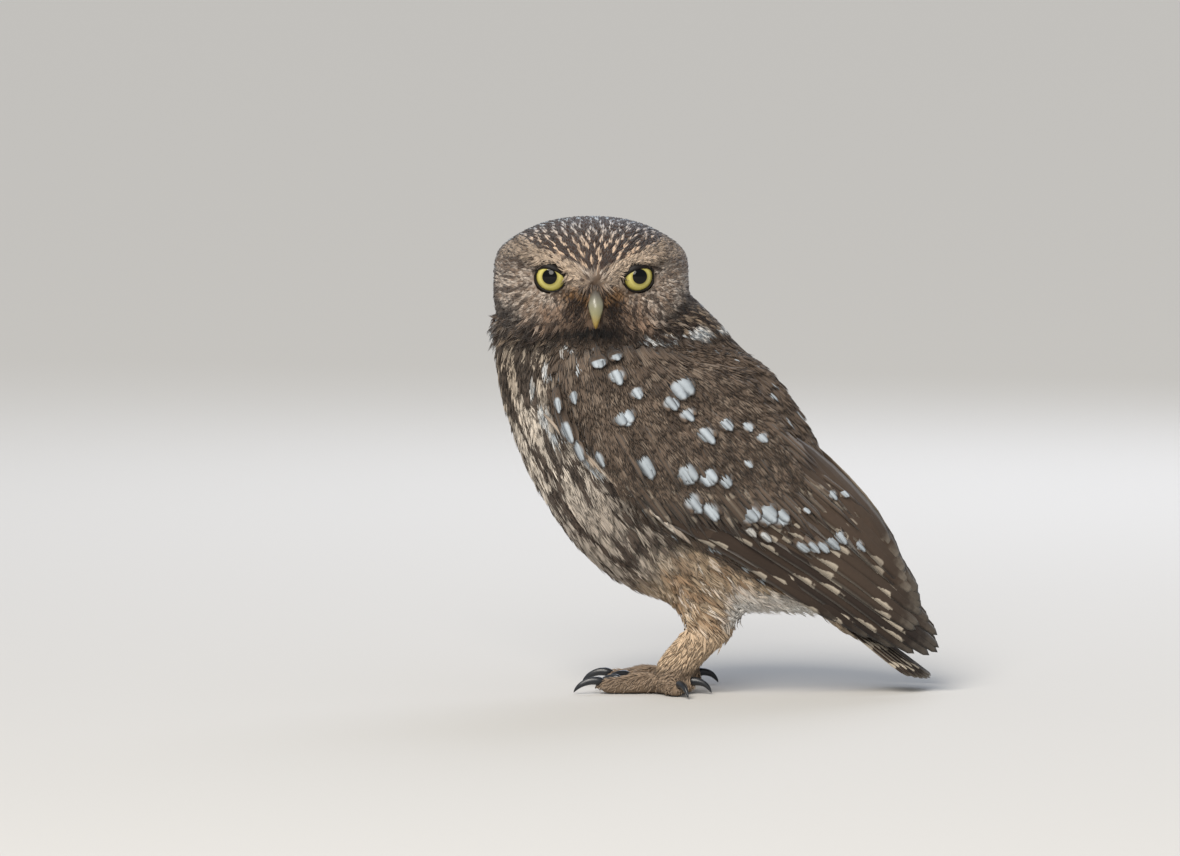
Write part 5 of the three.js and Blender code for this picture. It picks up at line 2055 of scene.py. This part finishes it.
@dataclass(frozen=True)
class Eyes:
    """The eyes: wet balls with a lemon iris and a black pupil, in rims of bare black lid."""

    radius: float = 6.9
    pupil: float = 2.7
    iris: float = 5.35
    bulge: float = 0.3
    opening_half_width: float = 5.3
    opening_above: float = 3.0
    opening_below: float = 4.7
    opening_drop: float = 0.35
    slant_deg: float = 17.0
    # The lid's cross-section: how far each ring is from the eye's centre and how much it grows outwards.
    rim: tuple[tuple[float, float], ...] = (
        (6.6, 0.0), (7.25, -0.05), (7.62, 0.16), (7.75, 0.5), (7.55, 0.95), (6.9, 1.35),
    )  # fmt: skip

    def frame_of(self, side: int) -> Array:
        """Gives an eye's axes in the head's frame as rows: across, up and out along its gaze."""
        turn = math.radians(side * HEAD.eye_outward_deg)
        cosine, sine = math.cos(turn), math.sin(turn)
        return np.array([[cosine, sine, 0], [0, 0, 1], [sine, -cosine, 0]])

    def ball(self, side: int, drawing: Drawing) -> Mesh:
        """Makes an eyeball with its cornea.

        Args:
            side: -1 for the right eye and 1 for the left.
            drawing: The drawing's place in the frame.

        Returns:
            The mesh, in the frame, with each point's distance from the gaze and its turn round it.
        """
        shape = bmesh.new()
        bmesh.ops.create_uvsphere(shape, u_segments=64, v_segments=48, radius=self.radius)
        mesh = finished("eye", shape)
        local = np.array([vertex.co for vertex in mesh.vertices])
        out = local[:, 2] > 0
        apart = np.where(out, np.hypot(local[:, 0], local[:, 1]), self.radius)
        local[:, 2] += self.bulge * (1 - ramp(apart, 2.0, self.iris + 0.4)) * out
        places = HEAD.to_drawing(HEAD.eye(side) + local @ self.frame_of(side))
        mesh.vertices.foreach_set("co", drawing.to_frame(places).astype(np.float32).ravel())
        mesh.update()
        layer = mesh.attributes.new("Gaze", "FLOAT", "POINT")
        layer.data.foreach_set("value", apart.astype(np.float32))
        turn = mesh.attributes.new("Turn", "FLOAT", "POINT")
        turn.data.foreach_set("value", np.arctan2(local[:, 1], local[:, 0]).astype(np.float32))
        return mesh

    def lid(self, side: int, drawing: Drawing) -> Mesh:
        """Makes the rim of bare skin round an eye, an oval lower at the top, with its upper edge slanted.

        Args:
            side: -1 for the right eye and 1 for the left.
            drawing: The drawing's place in the frame.

        Returns:
            The mesh of the lid, in the frame.
        """
        turns = np.linspace(0, 2 * math.pi, 72, endpoint=False)
        across, above = np.cos(turns), np.sin(turns)
        slant = math.radians(self.slant_deg) * side
        cosine, sine = math.cos(slant), math.sin(slant)
        rings = []
        for radius, grow in self.rim:
            height = np.where(above > 0, self.opening_above + 2.2 * grow, self.opening_below + grow)
            upwards = height * np.abs(above) ** 0.9 * np.sign(above)
            flat = np.stack([(self.opening_half_width + grow) * across, upwards])
            turned = np.array([[cosine, -sine], [sine, cosine]]) @ flat
            turned[1] -= self.opening_drop
            depth = np.sqrt(np.maximum(radius**2 - (turned**2).sum(axis=0), 0.5))
            local = np.stack([turned[0], turned[1], depth], axis=1)
            places = HEAD.to_drawing(HEAD.eye(side) + local @ self.frame_of(side))
            rings.append(drawing.to_frame(places))
        return finished("lid", lofted(rings, circling=True))

    def eye_finish(self) -> Material:
        """Makes the wet eye: a lemon iris, darker at its rim, round a black pupil, with a sharp glint."""
        material, tree, shader = new_material("wet_eye", {"Roughness": 0.06, "IOR": 1.34})
        apart = add_node(tree, "Attribute", attribute_name="Gaze").outputs["Fac"]
        turn = add_node(tree, "Attribute", attribute_name="Turn").outputs["Fac"]
        spokes = add_node(tree, "CombineXYZ", {"X": turn, "Y": 0.0})
        span = {"Value": apart, "From Min": 0.0, "From Max": self.radius}
        share = add_node(tree, "MapRange", span)
        stops = [
            (0.0, "#020202"), (self.pupil - 0.08, "#020202"), (self.pupil + 0.08, "#9c924c"),
            (3.6, "#c6bc6e"), (4.7, "#b8ad5c"), (self.iris - 0.25, "#8c8240"), (self.iris + 0.1, "#15100c"),
            (self.radius, "#0f0b09"),
        ]  # fmt: skip
        stops = [(distance / self.radius, code) for distance, code in stops]
        bands = add_node(tree, "ValToRGB", {"Fac": share.outputs[0]}, stops)
        Grain(16.0, 3.0, (0.82, 1.15)).dress(tree, shader, bands.outputs[0], spokes.outputs[0])
        return material

    def lid_finish(self) -> Material:
        """Makes the bare black skin of the lids, finely wrinkled and a little greasy in the light."""
        surface = {"Roughness": 0.5, "Specular IOR Level": 0.2}
        material, tree, shader = new_material("bare_lid_skin", surface)
        place = add_node(tree, "TexCoord").outputs["Object"]
        grain = add_node(tree, "TexNoise", {"Vector": place, "Scale": 1600.0, "Detail": 3.0})
        stops = [(0.0, "#080605"), (1.0, "#1a1411")]
        tone = add_node(tree, "ValToRGB", {"Fac": grain.outputs["Fac"]}, stops)
        tree.links.new(tone.outputs[0], shader.inputs["Base Color"])
        relief = {"Height": grain.outputs["Fac"], "Strength": 0.4, "Distance": 0.0001}
        bump = add_node(tree, "Bump", relief)
        tree.links.new(bump.outputs[0], shader.inputs["Normal"])
        return material

    def build(self, drawing: Drawing) -> None:
        """Makes both eyes and their lids."""
        wet, bare = self.eye_finish(), self.lid_finish()
        for side, name in ((-1, "right"), (1, "left")):
            ball = self.ball(side, drawing)
            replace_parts(add_piece(f"eyeball_{name}", ball, wet), f"eye_{name}")
            add_piece(f"lid_{name}", self.lid(side, drawing), bare)


@dataclass(frozen=True)
class Bill:
    """The hooked bill: a grey-green horn that turns yellow at its tip, with a nostril on each side."""

    half_width: float = 3.15
    half_height: float = 3.9
    lower_half_width: float = 1.9
    lower_half_height: float = 2.2
    nostril: float = 0.75
    breadth_at: tuple[float, ...] = (0, 0.2, 0.36, 0.5, 0.64, 0.8, 1)
    breadth: tuple[float, ...] = (0.7, 0.72, 0.92, 1.24, 1.3, 1.12, 0.9)
    upper: tuple[tuple[float, ...], ...] = (
        (0, -20, -2), (0, -27, -2.4), (0, -31.6, -5.4), (0, -32.4, -9.4), (0, -30.8, -14),
    )  # fmt: skip
    lower: tuple[tuple[float, ...], ...] = (
        (0, -20, -7.6), (0, -25.4, -8.2), (0, -28.4, -10), (0, -29.9, -12.3),
    )  # fmt: skip

    def half(
        self, name: str, path: Sequence[Sequence[float]], wide: float, high: float, drawing: Drawing
    ) -> Mesh:
        """Makes one half of the bill along its path.

        Args:
            name: The mesh's name.
            path: Places in the head's frame that its middle passes, from the root to the tip.
            wide: Half its width at the root.
            high: Half its height at the root.
            drawing: The drawing's place in the frame.

        Returns:
            The mesh, in the frame, with both nostrils sunk in where they reach it.
        """
        turns = np.linspace(0, 2 * math.pi, 40, endpoint=False)
        shares = np.append(np.linspace(0.004, 0.9, 36), [0.93, 0.955, 0.975, 0.99, 0.998])
        middle = through(path, shares)
        ahead = unit(through(path, shares + 0.004) - through(path, shares - 0.004))
        over = unit(np.cross(np.array([1.0, 0, 0]), ahead))
        taper = np.sqrt(np.minimum(1, shares / 0.1)) * (1 - shares) ** 0.52
        breadth = wide * taper * np.interp(shares, self.breadth_at, self.breadth)
        rings = []
        pits = [np.array([-2.3, -28.2, -2.8]), np.array([2.3, -28.2, -2.8])]
        for centre, up, size, half_width in zip(middle, over, taper, breadth):
            ridge = 1 + 0.06 * np.maximum(np.sin(turns), 0) ** 6
            across = half_width * np.cos(turns) * (1 - 0.1 * np.maximum(np.sin(turns), 0))
            ring = centre + np.outer(np.sin(turns) * high * size * ridge, up)
            ring[:, 0] += across
            for pit in pits:
                near = np.exp(-((np.linalg.norm(ring - pit, axis=1) / self.nostril) ** 2))
                ring -= unit(ring - centre) * (near * 0.9)[:, None]
            rings.append(drawing.to_frame(HEAD.to_drawing(ring)))
        return finished(name, lofted(rings))

    def finish(self) -> Material:
        """Makes the polished horn of the bill, which has a soft light along its ridge."""
        surface = {"Roughness": 0.34, "IOR": 1.54, "Coat Weight": 0.2}
        material, tree, shader = new_material("bill_keratin", surface)
        tip = HEAD.to_drawing(np.array([0.0, -30.8, -14.0]))
        root = HEAD.to_drawing(np.array([0.0, -27.0, -1.0]))
        place = add_node(tree, "TexCoord").outputs["Object"]
        height = add_node(tree, "SeparateXYZ", {0: place}).outputs["Z"]
        span = {"Value": height, "From Min": tip[2] * MM, "From Max": root[2] * MM}
        share = add_node(tree, "MapRange", span).outputs[0]
        stops = [(0.0, "#96722c"), (0.16, "#a48c45"), (0.42, "#8f8b66"), (0.72, "#7d7a69"), (1.0, "#4d473f")]
        horn = add_node(tree, "ValToRGB", {"Fac": share}, stops)
        Grain(500.0, 4.0, (0.8, 1.15), 0.15, 0.0001).dress(tree, shader, horn.outputs[0], place)
        return material

    def build(self, drawing: Drawing) -> None:
        """Makes both halves."""
        horn = self.finish()
        top = self.half("bill_top", self.upper, self.half_width, self.half_height, drawing)
        under = self.half("bill_under", self.lower, self.lower_half_width, self.lower_half_height, drawing)
        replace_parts(add_piece("bill_top", top, horn), "bill_upper")
        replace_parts(add_piece("bill_under", under, horn), "bill_lower")


@dataclass(frozen=True)
class Claws:
    """Eight curved claws of glossy blackish horn, one at the end of each toe."""

    base_radius: float = 1.5
    foot_x: tuple[float, float] = (8.0, 11.0)
    foot_side: float = 15.0
    root_height: float = 4.0
    toes: tuple[tuple[str, float, float, float], ...] = (
        ("hind", 168, 12, 7), ("inner", -24, 19, 8.5), ("middle", 4, 24, 9), ("outer", 112, 17, 8),
    )  # fmt: skip

    def claw(
        self, name: str, joint: Array, heading: float, reach: float, length: float, drawing: Drawing
    ) -> Mesh:
        """Makes one claw from the end of its toe down to just over the floor.

        Args:
            name: The mesh's name.
            joint: The place on the floor where the foot's toes meet.
            heading: The toe's direction on the floor, in radians.
            reach: The toe's length.
            length: How far the claw reaches beyond the toe.
            drawing: The drawing's place in the frame.

        Returns:
            The mesh, in the frame.
        """
        ahead = np.array([math.cos(heading), math.sin(heading), 0])
        across = np.array([-ahead[1], ahead[0], 0])
        root = joint + ahead * (reach - 1) + np.array([0, 0, self.root_height])
        drop = root[2] - 0.4
        bends = ((-0.3, 0.1), (0.25, 0.16), (0.62, -0.12), (0.86, -0.55), (1, -1))
        path = [
            root + ahead * out * length + np.array([0, 0, rise * drop if rise < 0 else rise * length * 0.4])
            for out, rise in bends
        ]
        turns = np.linspace(0, 2 * math.pi, 20, endpoint=False)
        shares = np.append(np.linspace(0.004, 0.9, 22), [0.94, 0.97, 0.99])
        middle = through(path, shares)
        forward = unit(through(path, shares + 0.004) - through(path, shares - 0.004))
        rings = []
        for centre, way, share in zip(middle, forward, shares):
            up = unit(np.cross(across, way))
            radius = self.base_radius * math.sqrt(min(1.0, share / 0.12)) * (1 - share) ** 0.7
            ring = centre + np.outer(radius * 1.15 * np.sin(turns), up)
            ring += np.outer(radius * np.cos(turns), across)
            ring[:, 2] = np.maximum(ring[:, 2], 0.15)
            rings.append(drawing.to_frame(ring))
        return finished(name, lofted(rings))

    def finish(self) -> Material:
        """Makes the glossy blackish horn of the claws, clouded with grey, with a light along each back."""
        material, tree, shader = new_material("claw_keratin", {"Roughness": 0.3, "IOR": 1.5})
        place = add_node(tree, "TexCoord").outputs["Object"]
        grain = add_node(tree, "TexNoise", {"Vector": place, "Scale": 350.0, "Detail": 3.0})
        stops = [(0.0, "#0d0e10"), (1.0, "#2b2e33")]
        tone = add_node(tree, "ValToRGB", {"Fac": grain.outputs["Fac"]}, stops)
        tree.links.new(tone.outputs[0], shader.inputs["Base Color"])
        return material

    def build(self, drawing: Drawing) -> None:
        """Makes the claws of both feet.

        Args:
            drawing: The drawing's place in the frame.
        """
        horn = self.finish()
        for name, side, foot_x in (("left", -1, self.foot_x[0]), ("right", 1, self.foot_x[1])):
            joint = np.array([foot_x, side * self.foot_side, 0.0])
            for toe, turn, reach, length in self.toes:
                heading = math.pi - side * math.radians(turn)
                node = f"claw_{name}_{toe}"
                mesh = self.claw(node + "_horn", joint, heading, reach, length, drawing)
                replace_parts(add_piece(node + "_horn", mesh, horn), node)


@dataclass(frozen=True)
class Studio:
    """A pale floor, soft light and the camera of the photograph."""

    view_width: float = 424.8  # millimetres of the photograph's width at the owl
    centre: tuple[float, float] = (590.0, 428.0)  # the photograph's middle pixel
    distance: float = 3000.0
    elevation_deg: float = 4.0
    sensor: float = 36.0

    def build(self, drawing: Drawing) -> None:
        """Makes the floor, the lights, the sky and the camera.

        Args:
            drawing: The drawing's place in the frame, which the camera is set by.
        """
        x, z = pixel(*self.centre)
        target = Vector(drawing.to_frame(np.array([x, 0.0, z])))
        tilt = math.radians(self.elevation_deg)
        back = Vector((0, -math.cos(tilt), math.sin(tilt)))
        lens = bpy.data.cameras.new("camera")
        lens.sensor_width = self.sensor
        lens.lens = self.sensor * self.distance / self.view_width
        lens.clip_start, lens.clip_end = 0.1, 100
        camera = bpy.data.objects.new("camera", lens)
        camera.location = target + back * self.distance * MM
        camera.rotation_euler = (-back).to_track_quat("-Z", "Y").to_euler()
        bpy.context.scene.collection.objects.link(camera)
        bpy.context.scene.camera = camera
        self.light("window", (-0.35, -1.8, 1.0), 1.0, 22.0, "#fffaf2")
        self.light("rim", (0.3, 1.1, 0.9), 0.9, 7.0, "#e4ecff")
        self.sun((-0.5, -0.75, 1.15), 2.3, "#fff8ee")
        world = bpy.data.worlds.new("studio")
        world.use_nodes = True
        world.node_tree.nodes["Background"].inputs["Color"].default_value = rgba("#c8ced6")
        world.node_tree.nodes["Background"].inputs["Strength"].default_value = 0.7
        bpy.context.scene.world = world
        bpy.context.scene.view_settings.view_transform = "Standard"
        floor_mesh = bpy.data.meshes.new("floor")
        shape = bmesh.new()
        bmesh.ops.create_grid(shape, x_segments=1, y_segments=1, size=30.0)
        shape.to_mesh(floor_mesh)
        shape.free()
        floor = bpy.data.objects.new("floor", floor_mesh)
        floor.location.z = -0.0001
        material, _, _ = new_material("matt_studio_floor", {"Base Color": rgba("#c4c2be"), "Roughness": 0.9})
        floor_mesh.materials.append(material)
        bpy.context.scene.collection.objects.link(floor)

    def sun(self, towards: tuple[float, float, float], strength: float, tint: str) -> None:
        """Adds a soft sun, which lights the whole floor alike.

        Args:
            towards: The direction of the sun.
            strength: Its strength.
            tint: Its hex colour.
        """
        lamp = bpy.data.lights.new("sun", "SUN")
        lamp.energy = strength
        lamp.angle = 0.5
        lamp.color = rgba(tint)[:3]
        holder = bpy.data.objects.new("sun", lamp)
        holder.rotation_euler = Vector(towards).to_track_quat("Z", "Y").to_euler()
        bpy.context.scene.collection.objects.link(holder)

    def light(
        self, name: str, place: tuple[float, float, float], size: float, watts: float, tint: str
    ) -> None:
        """Adds a soft light that faces the owl.

        Args:
            name: The light's name.
            place: Where it is, in metres.
            size: Its width in metres.
            watts: Its power.
            tint: Its hex colour.
        """
        lamp = bpy.data.lights.new(name, "AREA")
        lamp.shape = "DISK"
        lamp.size = size
        lamp.energy = watts
        lamp.color = rgba(tint)[:3]
        holder = bpy.data.objects.new(name, lamp)
        holder.location = place
        holder.rotation_euler = (Vector((0, 0, 0.09)) - Vector(place)).to_track_quat("-Z", "Y").to_euler()
        bpy.context.scene.collection.objects.link(holder)


def main() -> None:
    """Builds the owl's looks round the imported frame."""
    logging.basicConfig(level=logging.INFO, format="%(message)s")
    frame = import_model()
    drawing = Drawing()
    Studio().build(drawing)
    plumage = PlumageFinish().build()
    hull = Surface(remeshed(copied_nodes(frame, HULL, 0.4), 1.5, 12), drawing)
    skin_mesh = Skin().build(frame, hull, drawing)
    down = DownFinish().build()
    skin = add_piece("skin", skin_mesh, down)
    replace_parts(skin, *FLESH)
    surface = Surface(skin_mesh, drawing)
    for tract in TRACTS:
        batch = tract.grown(surface)
        mesh = feather_mesh(tract.name, [(tract.form, batch)], drawing)
        add_piece(tract.name, mesh, plumage)
    Wings().build(frame, drawing, plumage)
    Tail().build(drawing, plumage, down)
    Eyes().build(drawing)
    Bill().build(drawing)
    Claws().build(drawing)


if __name__ == "__main__":
    main()
